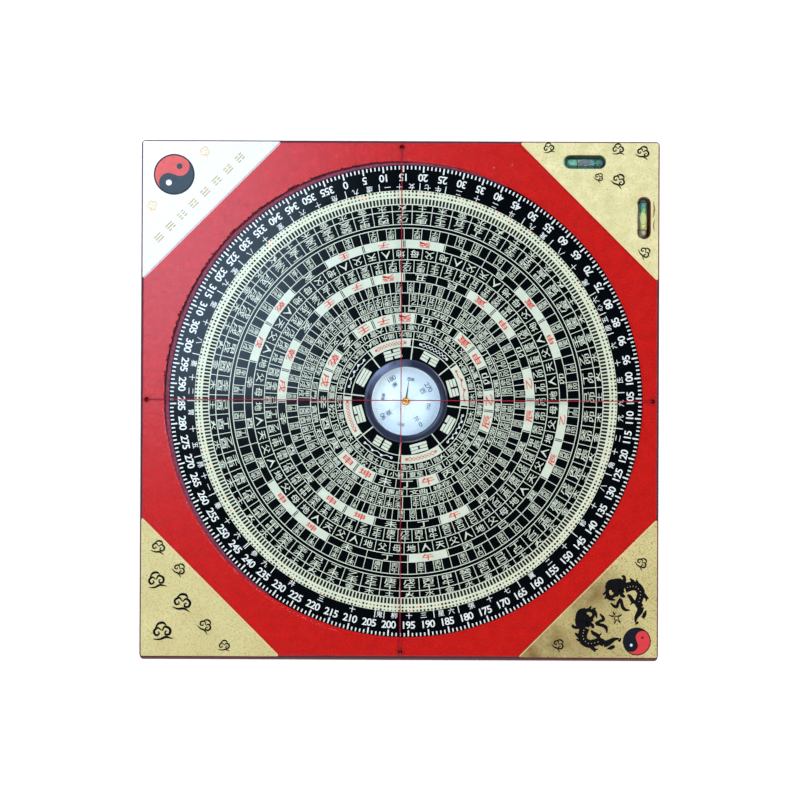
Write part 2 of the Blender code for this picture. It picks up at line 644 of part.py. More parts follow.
def build_threads(finishes):
    """Both sighting threads. The second lies on the first where they cross."""
    places = thread_hole_places()
    routes = {
        "thread_x": thread_route(places["left"], places["right"]),
        "thread_y": thread_route(places["front"], places["back"]),
    }
    ride_up = 2 * THREAD_RADIUS + CLEARANCE
    crossing = routes["thread_y"]
    middle = Vector((THREAD_CROSS_X, THREAD_CROSS_Y, 0.0))
    reach = BOARD_HALF - THREAD_EDGE_INSET - THREAD_BEND_RADIUS
    for point in crossing:
        if point.z >= THREAD_Z - THREAD_RADIUS / 10:
            distance = (point.xy - middle.xy).length
            point.z += ride_up * max(0.0, 1.0 - distance / reach)
    for name, route in routes.items():
        curve = bpy.data.curves.new(name, "CURVE")
        curve.dimensions = "3D"
        curve.bevel_depth = THREAD_RADIUS
        curve.bevel_resolution = 2
        curve.use_fill_caps = True
        spline = curve.splines.new("POLY")
        spline.points.add(len(route) - 1)
        for slot, point in zip(spline.points, route):
            slot.co = (*point, 1.0)
        curve.materials.append(finishes["thread"])
        thread = bpy.data.objects.new(name, curve)
        bpy.context.scene.collection.objects.link(thread)


def build_knots(finishes):
    """A round knot under each thread hole, up in its pocket and out of the table's way."""
    bore = THREAD_RADIUS + CLEARANCE
    top = KNOT_POCKET_DEPTH - CLEARANCE
    bottom = top - KNOT_HEIGHT
    swell = (KNOT_RADIUS - bore) / 2
    profile = [(bore, bottom + swell)]
    profile += arc((KNOT_RADIUS - swell, bottom + swell), swell, -math.pi / 2, 0.0, KNOT_STEPS)
    profile += arc((KNOT_RADIUS - swell, top - swell), swell, 0.0, math.pi / 2, KNOT_STEPS)
    profile += [(bore, top - swell)]
    for side, place in thread_hole_places().items():
        knot = turned("thread_knot_" + side, profile, HOLE_SIDES, finishes["thread_knot"])
        knot.location = (*place, 0.0)


def main():
    """Build every piece of the compass."""
    clear_scene()
    finishes = make_finishes()
    pockets = build_board(finishes)
    build_corner_plates(finishes, pockets)
    build_vials(finishes)
    build_dial(finishes)
    build_capsule(finishes)
    build_pivot(finishes)
    build_needle(finishes)
    build_threads(finishes)
    build_knots(finishes)


main()
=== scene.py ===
"""Looks of a feng shui compass: a red lacquered board with a turning ring dial and a needle capsule."""

import logging
import math
from dataclasses import dataclass, field, replace
from enum import Enum
from typing import Sequence

import bmesh
import bpy
import numpy as np
from mathutils import Matrix, Vector


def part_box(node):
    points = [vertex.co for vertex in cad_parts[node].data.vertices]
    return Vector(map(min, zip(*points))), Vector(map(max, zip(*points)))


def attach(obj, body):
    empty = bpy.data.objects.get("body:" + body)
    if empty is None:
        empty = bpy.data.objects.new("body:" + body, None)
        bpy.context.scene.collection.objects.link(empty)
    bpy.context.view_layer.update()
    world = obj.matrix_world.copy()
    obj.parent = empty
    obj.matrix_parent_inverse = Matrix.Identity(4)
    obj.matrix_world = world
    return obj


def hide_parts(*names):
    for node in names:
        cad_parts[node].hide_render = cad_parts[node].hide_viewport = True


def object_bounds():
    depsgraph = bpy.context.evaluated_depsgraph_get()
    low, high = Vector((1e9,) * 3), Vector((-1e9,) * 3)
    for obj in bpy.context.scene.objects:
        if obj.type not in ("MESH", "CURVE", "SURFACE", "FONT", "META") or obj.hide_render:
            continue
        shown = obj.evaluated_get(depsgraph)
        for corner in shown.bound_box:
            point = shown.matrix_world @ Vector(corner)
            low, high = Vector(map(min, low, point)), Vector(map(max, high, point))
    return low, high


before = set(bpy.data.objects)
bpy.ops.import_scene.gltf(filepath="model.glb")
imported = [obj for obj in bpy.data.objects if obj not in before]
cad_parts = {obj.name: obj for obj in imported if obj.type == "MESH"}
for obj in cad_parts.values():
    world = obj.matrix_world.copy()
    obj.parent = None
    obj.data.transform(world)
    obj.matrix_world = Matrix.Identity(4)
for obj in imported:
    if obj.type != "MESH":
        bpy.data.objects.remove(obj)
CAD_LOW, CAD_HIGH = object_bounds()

Array = np.ndarray
Colour = tuple[float, float, float, float]
Stops = tuple[tuple[float, Colour], ...]
Pairs = Sequence[tuple[float, float]]
Socket = bpy.types.NodeSocket
Sockets = bpy.types.bpy_prop_collection
MM = 0.001
BOARD_HALF = 107.5 * MM
SUNK = 0.01 * MM
TURN = 360.0
FULL = 2 * math.pi
DIRECTION_STEP = 15
TRIGRAM_STEP = 45
log = logging.getLogger("luopan")


def shown(red: float, green: float, blue: float) -> Colour:
    """Turn a colour as a screen shows it into the linear colour that a shader takes.

    Each part is divided by 255 and raised by the usual screen curve.

    Args:
        red: Red from 0 to 255.
        green: Green from 0 to 255.
        blue: Blue from 0 to 255.

    Returns:
        The linear colour with full cover.
    """
    parts = np.array((red, green, blue)) / 255
    low = parts / 12.92
    high = ((parts + 0.055) / 1.055) ** 2.4
    linear = np.where(parts <= 0.04045, low, high)
    return (float(linear[0]), float(linear[1]), float(linear[2]), 1.0)


@dataclass(frozen=True)
class Photograph:
    """Turns a place in the photograph into a place on the board's top, in metres."""

    middle: float = 399.5
    pitch: float = 0.41667 * MM

    def places(self, pixels: Array | Pairs | tuple[float, float]) -> Array:
        """Give the place on the board that shows at each pixel, given as across and down."""
        return (np.asarray(pixels, float) - self.middle) * (self.pitch, -self.pitch)

    def length(self, pixels: Array | float) -> Array | float:
        """Give the length on the board of a length in pixels."""
        return pixels * self.pitch


PHOTO = Photograph()


@dataclass
class Patch:
    """A stretch of surface: its points and the four-sided and three-sided faces between them."""

    points: Array
    quads: Array
    triangles: Array

    @staticmethod
    def of(points: Array, quads: Array | None = None, triangles: Array | None = None) -> "Patch":
        """Make a patch whose missing faces are empty arrays.

        Args:
            points: The points, three numbers a row.
            quads: Four point numbers a row.
            triangles: Three point numbers a row.

        Returns:
            The patch.
        """
        no_quads = np.zeros((0, 4), np.int64)
        no_triangles = np.zeros((0, 3), np.int64)
        return Patch(
            np.asarray(points, float).reshape(-1, 3),
            no_quads if quads is None else np.asarray(quads, np.int64).reshape(-1, 4),
            no_triangles if triangles is None else np.asarray(triangles, np.int64).reshape(-1, 3),
        )

    @staticmethod
    def joined(patches: Sequence["Patch"]) -> "Patch":
        """Put several patches into one, with each one's point numbers moved up by the points before it."""
        counts = np.array([len(patch.points) for patch in patches])
        firsts = np.cumsum(counts) - counts
        return Patch(
            np.concatenate([patch.points for patch in patches]),
            np.concatenate([patch.quads + first for patch, first in zip(patches, firsts)]),
            np.concatenate([patch.triangles + first for patch, first in zip(patches, firsts)]),
        )

    def facing_out(self) -> "Patch":
        """Turn all faces round if the closed surface holds a negative volume.

        The volume is a sixth of the sum, over fan triangles, of a corner times the cross product of
        the other two.
        """
        fans = np.concatenate([self.quads[:, [0, 1, 2]], self.quads[:, [0, 2, 3]], self.triangles])
        corners = self.points[fans] - self.points.mean(axis=0)
        volume = np.einsum("ij,ij->", corners[:, 0], np.cross(corners[:, 1], corners[:, 2]))
        if volume >= 0:
            return self
        return Patch(self.points, self.quads[:, ::-1], self.triangles[:, ::-1])


def prisms(outlines: Array, low: float, high: float) -> Patch:
    """Stand a straight prism on each convex outline.

    The points are the outline at the lower and at the upper level. The ends are fans of triangles,
    and the sides run from each corner to the next.

    Args:
        outlines: The outlines in the plane, by outline, corner and axis.
        low: The lower level.
        high: The upper level.

    Returns:
        The closed prisms.
    """
    outlines = np.asarray(outlines, float)
    count, corners = outlines.shape[:2]
    points = np.zeros((count, 2, corners, 3))
    points[..., :2] = outlines[:, None]
    points[:, 0, :, 2] = low
    points[:, 1, :, 2] = high
    ring = np.arange(corners)
    after = (ring + 1) % corners
    sides = np.stack([ring, after, after + corners, ring + corners], axis=1)
    fan = np.stack([np.zeros(corners - 2, int), ring[1:-1], ring[2:]], axis=1)
    ends = np.concatenate([fan + corners, fan[:, ::-1]])
    firsts = np.arange(count)[:, None, None] * 2 * corners
    return Patch.of(points, sides[None] + firsts, ends[None] + firsts).facing_out()


def bands(left: Array, right: Array, low: float, high: float, closed: bool = False) -> Patch:
    """Fill the strip between two edge lines as a thin closed band with a square section.

    The section's four corners are the two edges at the two levels. They are carried from each step
    of the lines to the next, and an open band is closed by its first and last section.

    Args:
        left: The first edge, by band, step and axis.
        right: The other edge, by band, step and axis.
        low: The lower level.
        high: The upper level.
        closed: Whether the last step joins the first.

    Returns:
        The closed bands.
    """
    left = np.asarray(left, float)
    right = np.asarray(right, float)
    if left.ndim == 2:
        left, right = left[None], right[None]
    count, steps = left.shape[:2]
    points = np.zeros((count, steps, 4, 3))
    points[:, :, [0, 3], :2] = left[:, :, None]
    points[:, :, [1, 2], :2] = right[:, :, None]
    points[:, :, :2, 2] = low
    points[:, :, 2:, 2] = high
    step = np.arange(steps if closed else steps - 1)[:, None]
    side = np.arange(4)[None]
    here = step * 4
    there = (step + 1) % steps * 4
    across = (side + 1) % 4
    walls = np.stack([here + side, here + across, there + across, there + side], axis=2).reshape(-1, 4)
    if not closed:
        start = np.array([[3, 2, 1, 0]])
        end = np.array([[0, 1, 2, 3]]) + (steps - 1) * 4
        walls = np.concatenate([walls, start, end])
    firsts = np.arange(count)[:, None, None] * steps * 4
    return Patch.of(points, walls[None] + firsts).facing_out()


def sheet_of(grid: Array, wrap_rows: bool = False, wrap_columns: bool = False) -> Patch:
    """Join the points of a two-way grid into faces.

    Args:
        grid: The points, by row, column and axis.
        wrap_rows: Whether the last row joins the first.
        wrap_columns: Whether the last column joins the first.

    Returns:
        The surface.
    """
    rows, columns = grid.shape[:2]
    row = np.arange(rows if wrap_rows else rows - 1)[:, None]
    column = np.arange(columns if wrap_columns else columns - 1)[None]
    next_row = (row + 1) % rows
    next_column = (column + 1) % columns
    corners = [
        row * columns + column,
        row * columns + next_column,
        next_row * columns + next_column,
        next_row * columns + column,
    ]
    return Patch.of(grid, np.stack(corners, axis=2))


def outward(azimuth: Array | float) -> Array:
    """Give the flat direction at each azimuth in degrees, clockwise from the board's back edge."""
    angle = np.radians(azimuth)
    return np.stack([np.sin(angle), np.cos(angle)], axis=-1)


def round_about(count: int) -> Array:
    """Give the directions to evenly spaced points of a circle, as rows."""
    angle = np.arange(count) / count * FULL
    return np.stack([np.cos(angle), np.sin(angle)], axis=1)


class Axis(Enum):
    """The axes that a profile is turned about, with how far the parts of a place move on."""

    UPRIGHT = 0
    ACROSS = 1
    ALONG = 2


def turned(profile: Array, centre: Sequence[float], segments: int, axis: Axis = Axis.UPRIGHT) -> Patch:
    """Turn a closed profile of radius and reach round an axis.

    A point at radius r and angle a lies at the centre plus r times the cosine and sine of a across
    the axis, and plus its reach along the axis.

    Args:
        profile: Radius and reach, two numbers a row. The last row joins the first.
        centre: A place on the axis.
        segments: How many steps one turn has.
        axis: Which way the axis runs.

    Returns:
        The closed ring, or the closed body where the profile's ends lie on the axis.
    """
    grid = np.empty((segments, len(profile), 3))
    grid[..., :2] = round_about(segments)[:, None] * profile[None, :, :1]
    grid[..., 2] = profile[None, :, 1]
    grid = np.roll(grid, axis.value, axis=2) + np.asarray(centre, float)
    return sheet_of(grid, wrap_rows=True, wrap_columns=True).facing_out()


def slab(grid: Array, low: float, high: float) -> Patch:
    """Give a flat grid of points a thickness: a top, a bottom and a wall round its four sides.

    Args:
        grid: The flat points, by row, column and axis.
        low: The lower level.
        high: The upper level.

    Returns:
        The closed slab.
    """
    rows, columns = grid.shape[:2]
    levels = np.zeros((2, rows, columns, 3))
    levels[..., :2] = grid
    levels[0, ..., 2] = low
    levels[1, ..., 2] = high
    number = np.arange(rows * columns).reshape(rows, columns)
    flat = sheet_of(levels[0]).quads
    rim = np.concatenate([number[0, :-1], number[:-1, -1], number[-1, :0:-1], number[:0:-1, 0]])
    after = np.roll(rim, -1)
    count = rows * columns
    wall = np.stack([rim, after, after + count, rim + count], axis=1)
    faces = np.concatenate([flat, flat[:, ::-1] + count, wall])
    return Patch.of(levels, faces).facing_out()


def tube(path: Array, radius: float, sides: int, side_way: Array) -> Patch:
    """Carry a circle along a path and close both ends by a point on the path.

    The circle lies across the path: its first axis is the cross product of the path's direction and
    a side way, and its second axis is square to both.

    Args:
        path: The points of the path, as rows.
        radius: The circle's radius.
        sides: How many corners the circle has.
        side_way: A direction that the path never takes, one row or one a point.

    Returns:
        The closed tube.
    """
    along = np.gradient(path, axis=0)
    along /= np.linalg.norm(along, axis=1, keepdims=True)
    first = np.cross(along, side_way)
    first /= np.linalg.norm(first, axis=1, keepdims=True)
    second = np.cross(along, first)
    across, up = round_about(sides).T[..., None]
    ring = across * first[:, None] + up * second[:, None]
    skin = sheet_of(path[:, None] + radius * ring, wrap_columns=True)
    count = len(skin.points)
    points = np.concatenate([skin.points, path[:1], path[-1:]])
    corner = np.arange(sides)
    after = (corner + 1) % sides
    last = count - sides
    near = np.stack([np.full(sides, count), after, corner], axis=1)
    far = np.stack([np.full(sides, count + 1), last + corner, last + after], axis=1)
    return Patch.of(points, skin.quads, np.concatenate([near, far])).facing_out()


def curve_through(points: Array, steps: int) -> Array:
    """Draw a smooth line through points, as the even cubic curve whose slope at a point is half the
    way between its neighbours.

    Args:
        points: The points, as rows.
        steps: How many steps each span has.

    Returns:
        The points of the line, as rows.
    """
    points = np.asarray(points, float)
    ends = np.concatenate([2 * points[:1] - points[1:2], points, 2 * points[-1:] - points[-2:-1]])
    share = np.arange(steps)[None, :, None] / steps
    a, b, c, d = (ends[i:len(ends) - 3 + i][:, None] for i in range(4))
    line = b + share * (c - a) / 2
    line = line + share ** 2 * (a - 2.5 * b + 2 * c - 0.5 * d)
    line = line + share ** 3 * (1.5 * (b - c) + (d - a) / 2)
    return np.concatenate([line.reshape(-1, points.shape[1]), points[-1:]])


def stroke(points: Array, widths: Sequence[float], low: float, high: float, steps: int = 5) -> Patch:
    """Draw a brush stroke: a band along a smooth line, whose width swells and thins.

    Args:
        points: The points that the brush goes through, as rows.
        widths: The full width at each of those points.
        low: The lower level.
        high: The upper level.
        steps: How many steps each span has.

    Returns:
        The closed band.
    """
    line = curve_through(points, steps)
    width = curve_through(np.asarray(widths, float)[:, None], steps)
    along = np.gradient(line, axis=0)
    along /= np.linalg.norm(along, axis=1, keepdims=True)
    across = np.stack([-along[:, 1], along[:, 0]], axis=1) * np.abs(width) / 2
    return bands(line + across, line - across, low, high)


def discs(centres: Array, radius: float, low: float, high: float, corners: int = 6) -> Patch:
    """Lay a small round spot on each centre, as a prism on a regular outline."""
    return prisms(np.asarray(centres)[:, None] + radius * round_about(corners)[None], low, high)


def swept(
    centre: Array, way: Array, inner: Array | float, outer: Array | float, low: float, high: float,
    closed: bool = False,
) -> Patch:
    """Lay a flat band between two radii, one number each or one a direction.

    Args:
        centre: The place that the radii are taken from.
        way: The directions, as rows.
        inner: The nearer radius.
        outer: The further radius.
        low: The lower level.
        high: The upper level.
        closed: Whether the last direction joins the first.

    Returns:
        The closed band.
    """
    near, far = (centre + np.asarray(radius, float)[..., None] * way for radius in (inner, outer))
    return bands(near, far, low, high, closed)


def ring_of(centre: Array, inner: float, outer: float, low: float, high: float, steps: int) -> Patch:
    """Lay a flat round band between two radii about a centre."""
    return swept(centre, round_about(steps), inner, outer, low, high, closed=True)


def middle_of(box: tuple[Vector, Vector]) -> Array:
    """Give the flat middle of a node's box."""
    low, high = corners_of(box)
    return ((low + high) / 2)[:2]


def corners_of(box: tuple[Vector, Vector]) -> tuple[Array, Array]:
    """Give the lowest and the highest corner of a node's box as arrays."""
    return np.array(box[0]), np.array(box[1])


class Effect(Enum):
    """The shader groups that several finishes share, with what each one takes."""

    MOTTLE = ("Vector", "Scale", "Sharpness")
    SPECKS = ("Vector", "Scale", "Size", "Share")
    SQUARE_EDGE = ("Vector", "Half", "Width", "Ragged")
    ROUND_EDGE = ("Vector", "Centre", "Radius", "Width")
    GRAIN = ("Vector", "Coarse", "Fine", "Share")


class Graph:
    """Fills a node tree by short calls."""

    def __init__(self, tree: bpy.types.NodeTree) -> None:
        """Keep the tree that is filled."""
        self.tree = tree

    def add(self, kind: str, inputs: dict | None = None, **settings: object) -> bpy.types.Node:
        """Add a node, set its options and set or link its inputs.

        Args:
            kind: The node's type.
            inputs: A value or another node's output for each named or numbered input.
            settings: The node's own options.

        Returns:
            The new node.
        """
        node = self.tree.nodes.new(kind)
        for name, value in settings.items():
            setattr(node, name, value)
        for name, value in (inputs or {}).items():
            if isinstance(value, Socket):
                self.tree.links.new(value, node.inputs[name])
            else:
                node.inputs[name].default_value = value
        return node

    def give(self, kind: str, inputs: dict | None = None, **settings: object) -> Socket:
        """Add a node in the same way and return its first output."""
        return self.add(kind, inputs, **settings).outputs[0]

    def math(self, operation: str, *values: object, clamp: bool = False) -> Socket:
        """Work out a number from numbers by the named operation."""
        return self.give("ShaderNodeMath", dict(enumerate(values)), operation=operation, use_clamp=clamp)

    def times(self, first: object, second: object) -> Socket:
        """Multiply two numbers."""
        return self.math("MULTIPLY", first, second)

    def less(self, first: object, second: object) -> Socket:
        """Take the second number from the first."""
        return self.math("SUBTRACT", first, second)

    def vector(self, operation: str, *values: object) -> bpy.types.Node:
        """Add a node that works on vectors by the named operation."""
        return self.add("ShaderNodeVectorMath", dict(enumerate(values)), operation=operation)

    def blend(self, share: object, first: object, second: object) -> Socket:
        """Blend two colours by a share."""
        return self.add("ShaderNodeMix", {"Factor": share, 6: first, 7: second}, data_type="RGBA").outputs[2]

    def between(self, share: object, first: object, second: object) -> Socket:
        """Blend two numbers by a share."""
        return self.give("ShaderNodeMix", {"Factor": share, 2: first, 3: second}, data_type="FLOAT")

    def parts(self, place: object) -> Sockets:
        """Part a place into its three numbers."""
        return self.add("ShaderNodeSeparateXYZ", {0: place}).outputs

    def noise(self, place: object, scale: object, detail: float = 3.0) -> Socket:
        """Give the value of a noise at a place."""
        return self.give("ShaderNodeTexNoise", {"Vector": place, "Scale": scale, "Detail": detail})

    def ramp(self, value: object, low: float, high: float) -> Socket:
        """Stretch a value so that low becomes nothing and high becomes one, with soft ends."""
        inputs = {"Value": value, "From Min": low, "From Max": high}
        return self.give("ShaderNodeMapRange", inputs, interpolation_type="SMOOTHSTEP")

    def effect(self, effect: Effect, **inputs: object) -> Socket:
        """Place a shared group and return what it gives."""
        values = {name.capitalize(): value for name, value in inputs.items()}
        return self.give("ShaderNodeGroup", values, node_tree=Effects.group(effect))


class Effects:
    """Builds each shared shader group once and hands it out."""

    @classmethod
    def group(cls, effect: Effect) -> bpy.types.NodeTree:
        """Return the group of an effect, built when it is first asked for."""
        title = effect.name.lower()
        found = bpy.data.node_groups.get(title)
        if found is not None:
            return found
        tree = bpy.data.node_groups.new(title, "ShaderNodeTree")
        for name in effect.value:
            kind = "NodeSocketVector" if name in ("Vector", "Centre") else "NodeSocketFloat"
            tree.interface.new_socket(name, in_out="INPUT", socket_type=kind)
        given = "Height" if effect is Effect.GRAIN else "Mask"
        tree.interface.new_socket(given, in_out="OUTPUT", socket_type="NodeSocketFloat")
        graph = Graph(tree)
        taken = graph.add("NodeGroupInput").outputs
        graph.add("NodeGroupOutput", {0: getattr(cls, title)(graph, taken)})
        return tree

    @staticmethod
    def mottle(graph: Graph, taken: Sockets) -> Socket:
        """Make soft clouds: a noise whose middle values are spread by the sharpness."""
        centred = graph.less(graph.noise(taken["Vector"], taken["Scale"], 4.0), 0.5)
        return graph.math("ADD", graph.times(centred, taken["Sharpness"]), 0.5, clamp=True)

    @staticmethod
    def specks(graph: Graph, taken: Sockets) -> Socket:
        """Make scattered specks: cells nearer than the size to their point, in a share of the cells."""
        inputs = {"Vector": taken["Vector"], "Scale": taken["Scale"], "Randomness": 1.0}
        cells = graph.add("ShaderNodeTexVoronoi", inputs).outputs
        near = graph.math("LESS_THAN", cells["Distance"], taken["Size"])
        pick = graph.give("ShaderNodeSeparateColor", {0: cells["Color"]})
        return graph.times(near, graph.math("LESS_THAN", pick, taken["Share"]))

    @staticmethod
    def square_edge(graph: Graph, taken: Sockets) -> Socket:
        """Mark the border of a square: how far the larger of the two distances from the middle goes
        past the half side less the width, roughened by a noise."""
        across, along, _ = graph.parts(taken["Vector"])
        far = graph.math("MAXIMUM", graph.math("ABSOLUTE", across), graph.math("ABSOLUTE", along))
        wander = graph.less(graph.noise(taken["Vector"], 220.0), 0.5)
        uneven = graph.times(wander, taken["Ragged"])
        start = graph.less(taken["Half"], taken["Width"])
        past = graph.less(graph.math("ADD", far, uneven), start)
        return graph.math("DIVIDE", past, graph.times(taken["Width"], 0.4), clamp=True)

    @staticmethod
    def round_edge(graph: Graph, taken: Sockets) -> Socket:
        """Mark a circle's line: one less the distance from it in widths."""
        flat = graph.vector("SUBTRACT", taken["Vector"], taken["Centre"]).outputs[0]
        level = graph.vector("MULTIPLY", flat, (1.0, 1.0, 0.0)).outputs[0]
        reach = graph.vector("LENGTH", level).outputs["Value"]
        off = graph.math("ABSOLUTE", graph.less(reach, taken["Radius"]))
        return graph.math("SUBTRACT", 1.0, graph.math("DIVIDE", off, taken["Width"]), clamp=True)

    @staticmethod
    def grain(graph: Graph, taken: Sockets) -> Socket:
        """Make a surface height: a coarse noise and a fine one, blended by the share of the fine."""
        coarse = graph.noise(taken["Vector"], taken["Coarse"], 2.0)
        fine = graph.noise(taken["Vector"], taken["Fine"], 2.0)
        rest = graph.less(1.0, taken["Share"])
        return graph.math("ADD", graph.times(coarse, rest), graph.times(fine, taken["Share"]))


@dataclass(frozen=True)
class Stain:
    """A round place that fades out to its radius, in metres. Most are darker real stains; the bezel's one is
    lighter and is a painted sheen.
    """

    place: tuple[float, float]
    radius: float
    strength: float


@dataclass(frozen=True)
class Fleck:
    """A colour that comes in as a fine noise climbs from a low value to a high one."""

    scale: float
    detail: float
    low: float
    high: float
    strength: float
    colour: Colour


@dataclass(frozen=True)
class Finish:
    """A surface finish with clouded colour, a grain in the surface and a set gloss."""

    name: str
    colour: Colour
    second: Colour
    cloud: float = 60.0
    sharpness: float = 1.6
    roughness: float = 0.45
    rough_swing: float = 0.08
    metallic: float = 0.0
    specular: float = 0.5
    coarse: float = 600.0
    fine: float = 3000.0
    fine_share: float = 0.5
    grain_depth: float = 0.03 * MM
    flecks: tuple[Fleck, ...] = ()
    tint: float = 1.0
    stains: tuple[Stain, ...] = ()
    stain_colour: Colour = (0.0, 0.0, 0.0, 1.0)
    deepest_stain: float = 0.92

    def material(self) -> bpy.types.Material:
        """Return this finish's material, made when it is first asked for."""
        title = "finish_" + self.name
        found = bpy.data.materials.get(title)
        if found is not None:
            return found
        material = bpy.data.materials.new(title)
        graph = emptied(material)
        place = graph.add("ShaderNodeTexCoord").outputs["Object"]
        graph.add("ShaderNodeOutputMaterial", {"Surface": self.surface(graph, place)})
        material.diffuse_color = self.colour
        return material

    def clouded(self, graph: Graph, place: Socket) -> Socket:
        """Blend the two colours by soft clouds."""
        mask = graph.effect(Effect.MOTTLE, vector=place, scale=self.cloud, sharpness=self.sharpness)
        return graph.blend(mask, self.colour, self.second)

    def colouring(self, graph: Graph, place: Socket) -> Socket:
        """Give the clouded colour with its stains and painted sheens."""
        return self.stained(graph, place, self.clouded(graph, place))

    def flecked(self, graph: Graph, place: Socket, colour: Socket) -> Socket:
        """Blend each fleck's colour in where its noise is high."""
        for fleck in self.flecks:
            mask = graph.ramp(graph.noise(place, fleck.scale, fleck.detail), fleck.low, fleck.high)
            colour = graph.blend(graph.times(mask, fleck.strength * self.tint), colour, fleck.colour)
        return colour

    def stained(self, graph: Graph, place: Socket, colour: Socket) -> Socket:
        """Blend the stain colour in towards the middle of each stain, unevenly. The bezel's lighter one is a
        painted sheen.
        """
        for stain in self.stains:
            spot = {"centre": (*stain.place, 0.0), "radius": 0.0, "width": stain.radius}
            near = graph.effect(Effect.ROUND_EDGE, vector=place, **spot)
            uneven = graph.ramp(graph.noise(place, 2.0 / stain.radius, 5.0), 0.2, 0.7)
            share = graph.times(graph.times(near, uneven), stain.strength)
            colour = graph.blend(graph.math("MINIMUM", share, self.deepest_stain), colour, self.stain_colour)
        return colour

    def relief(self, graph: Graph, place: Socket) -> Socket:
        """Give the surface its grain."""
        grain = {"coarse": self.coarse, "fine": self.fine, "share": self.fine_share}
        height = graph.effect(Effect.GRAIN, vector=place, **grain)
        return graph.give("ShaderNodeBump", {"Height": height, "Distance": self.grain_depth, "Strength": 1.0})

    def gloss(self, graph: Graph, place: Socket) -> Socket:
        """Let the roughness drift a little about its value."""
        limits = {"To Min": self.roughness - self.rough_swing, "To Max": self.roughness + self.rough_swing}
        return graph.give("ShaderNodeMapRange", {"Value": graph.noise(place, self.cloud * 2, 2.0), **limits})

    def surface(self, graph: Graph, place: Socket) -> Socket:
        """Make the shader of the finish and return its output."""
        inputs = {
            "Base Color": self.colouring(graph, place),
            "Roughness": self.gloss(graph, place),
            "Metallic": self.metallic,
            "Specular IOR Level": self.specular,
            "Normal": self.relief(graph, place),
        }
        return graph.give("ShaderNodeBsdfPrincipled", inputs)


def emptied(owner: bpy.types.Material | bpy.types.World) -> Graph:
    """Give a new material or world an empty node tree to fill."""
    owner.use_nodes = True
    owner.node_tree.nodes.clear()
    return Graph(owner.node_tree)


@dataclass(frozen=True)
class Lacquer(Finish):
    """Brushed lacquer on a board, with dust caught in it. It is darker and matt at the outer edge: the dark
    is partly wear and partly painted shade for the shaded side faces.
    """

    flecks: tuple[Fleck, ...] = (
        Fleck(1250.0, 5.0, 0.48, 0.7, 0.34, shown(150, 4, 6)),
        Fleck(1500.0, 4.0, 0.5, 0.72, 0.24, shown(238, 66, 56)),
    )
    # The edge colour is partly painted shade: it darkens the board's rim and side faces as if they lay in
    # shade, as well as marking wear.
    edge_colour: Colour = shown(78, 12, 32)
    edge_width: float = 1.2 * MM
    edge_ragged: float = 0.6 * MM
    edge_roughness: float = 0.95
    dust_colour: Colour = shown(235, 190, 185)
    dust_scale: float = 260.0
    dust_size: float = 0.07
    dust_share: float = 0.06
    dust_strength: float = 0.8

    def edge(self, graph: Graph, place: Socket, ragged: float) -> Socket:
        """Mark the board's outer edge."""
        return graph.effect(
            Effect.SQUARE_EDGE, vector=place, half=BOARD_HALF, width=self.edge_width, ragged=ragged
        )

    def colouring(self, graph: Graph, place: Socket) -> Socket:
        """Add the flecks, the dark edge of wear and painted shade, and the dust to the clouded lacquer."""
        streaked = self.flecked(graph, place, super().colouring(graph, place))
        edged = graph.blend(self.edge(graph, place, self.edge_ragged), streaked, self.edge_colour)
        dust = {"scale": self.dust_scale, "size": self.dust_size, "share": self.dust_share}
        specks = graph.effect(Effect.SPECKS, vector=place, **dust)
        return graph.blend(graph.times(specks, self.dust_strength), edged, self.dust_colour)

    def gloss(self, graph: Graph, place: Socket) -> Socket:
        """Let the roughness drift a little, and rub the outer edge matt."""
        smooth = super().gloss(graph, place)
        return graph.between(self.edge(graph, place, 0.0), smooth, self.edge_roughness)


@dataclass(frozen=True)
class Foil(Finish):
    """Pale gold foil with a fine coloured grain: green, rosy and dark flecks, and darker specks."""

    flecks: tuple[Fleck, ...] = (
        Fleck(1250.0, 5.0, 0.48, 0.62, 1.0, shown(204, 212, 134)),
        Fleck(1050.0, 6.0, 0.48, 0.7, 1.0, shown(244, 206, 152)),
        Fleck(1400.0, 6.0, 0.5, 0.7, 0.7, shown(132, 104, 52)),
    )
    tint: float = 0.5
    speck_colour: Colour = shown(90, 75, 40)

    def colouring(self, graph: Graph, place: Socket) -> Socket:
        """Add the flecks and specks to the clouded gold, and the stains over them."""
        grained = self.flecked(graph, place, self.clouded(graph, place))
        specks = graph.effect(Effect.SPECKS, vector=place, scale=420.0, size=0.12, share=0.12)
        specked = graph.blend(graph.times(specks, self.tint), grained, self.speck_colour)
        return self.stained(graph, place, specked)


@dataclass(frozen=True)
class Clear(Finish):
    """Clear plastic or glass that lets the studio light through to what it covers."""

    depth: float = 1.45

    def surface(self, graph: Graph, place: Socket) -> Socket:
        """Make a clear shader that casts no shadow of its own."""
        inputs = {
            "Base Color": self.colouring(graph, place),
            "Roughness": self.roughness,
            "IOR": self.depth,
            "Transmission Weight": 1.0,
        }
        glass = graph.give("ShaderNodeBsdfPrincipled", inputs)
        through = graph.give("ShaderNodeBsdfTransparent", {"Color": self.colour})
        path = graph.add("ShaderNodeLightPath").outputs["Is Shadow Ray"]
        return graph.give("ShaderNodeMixShader", {0: path, 1: glass, 2: through})


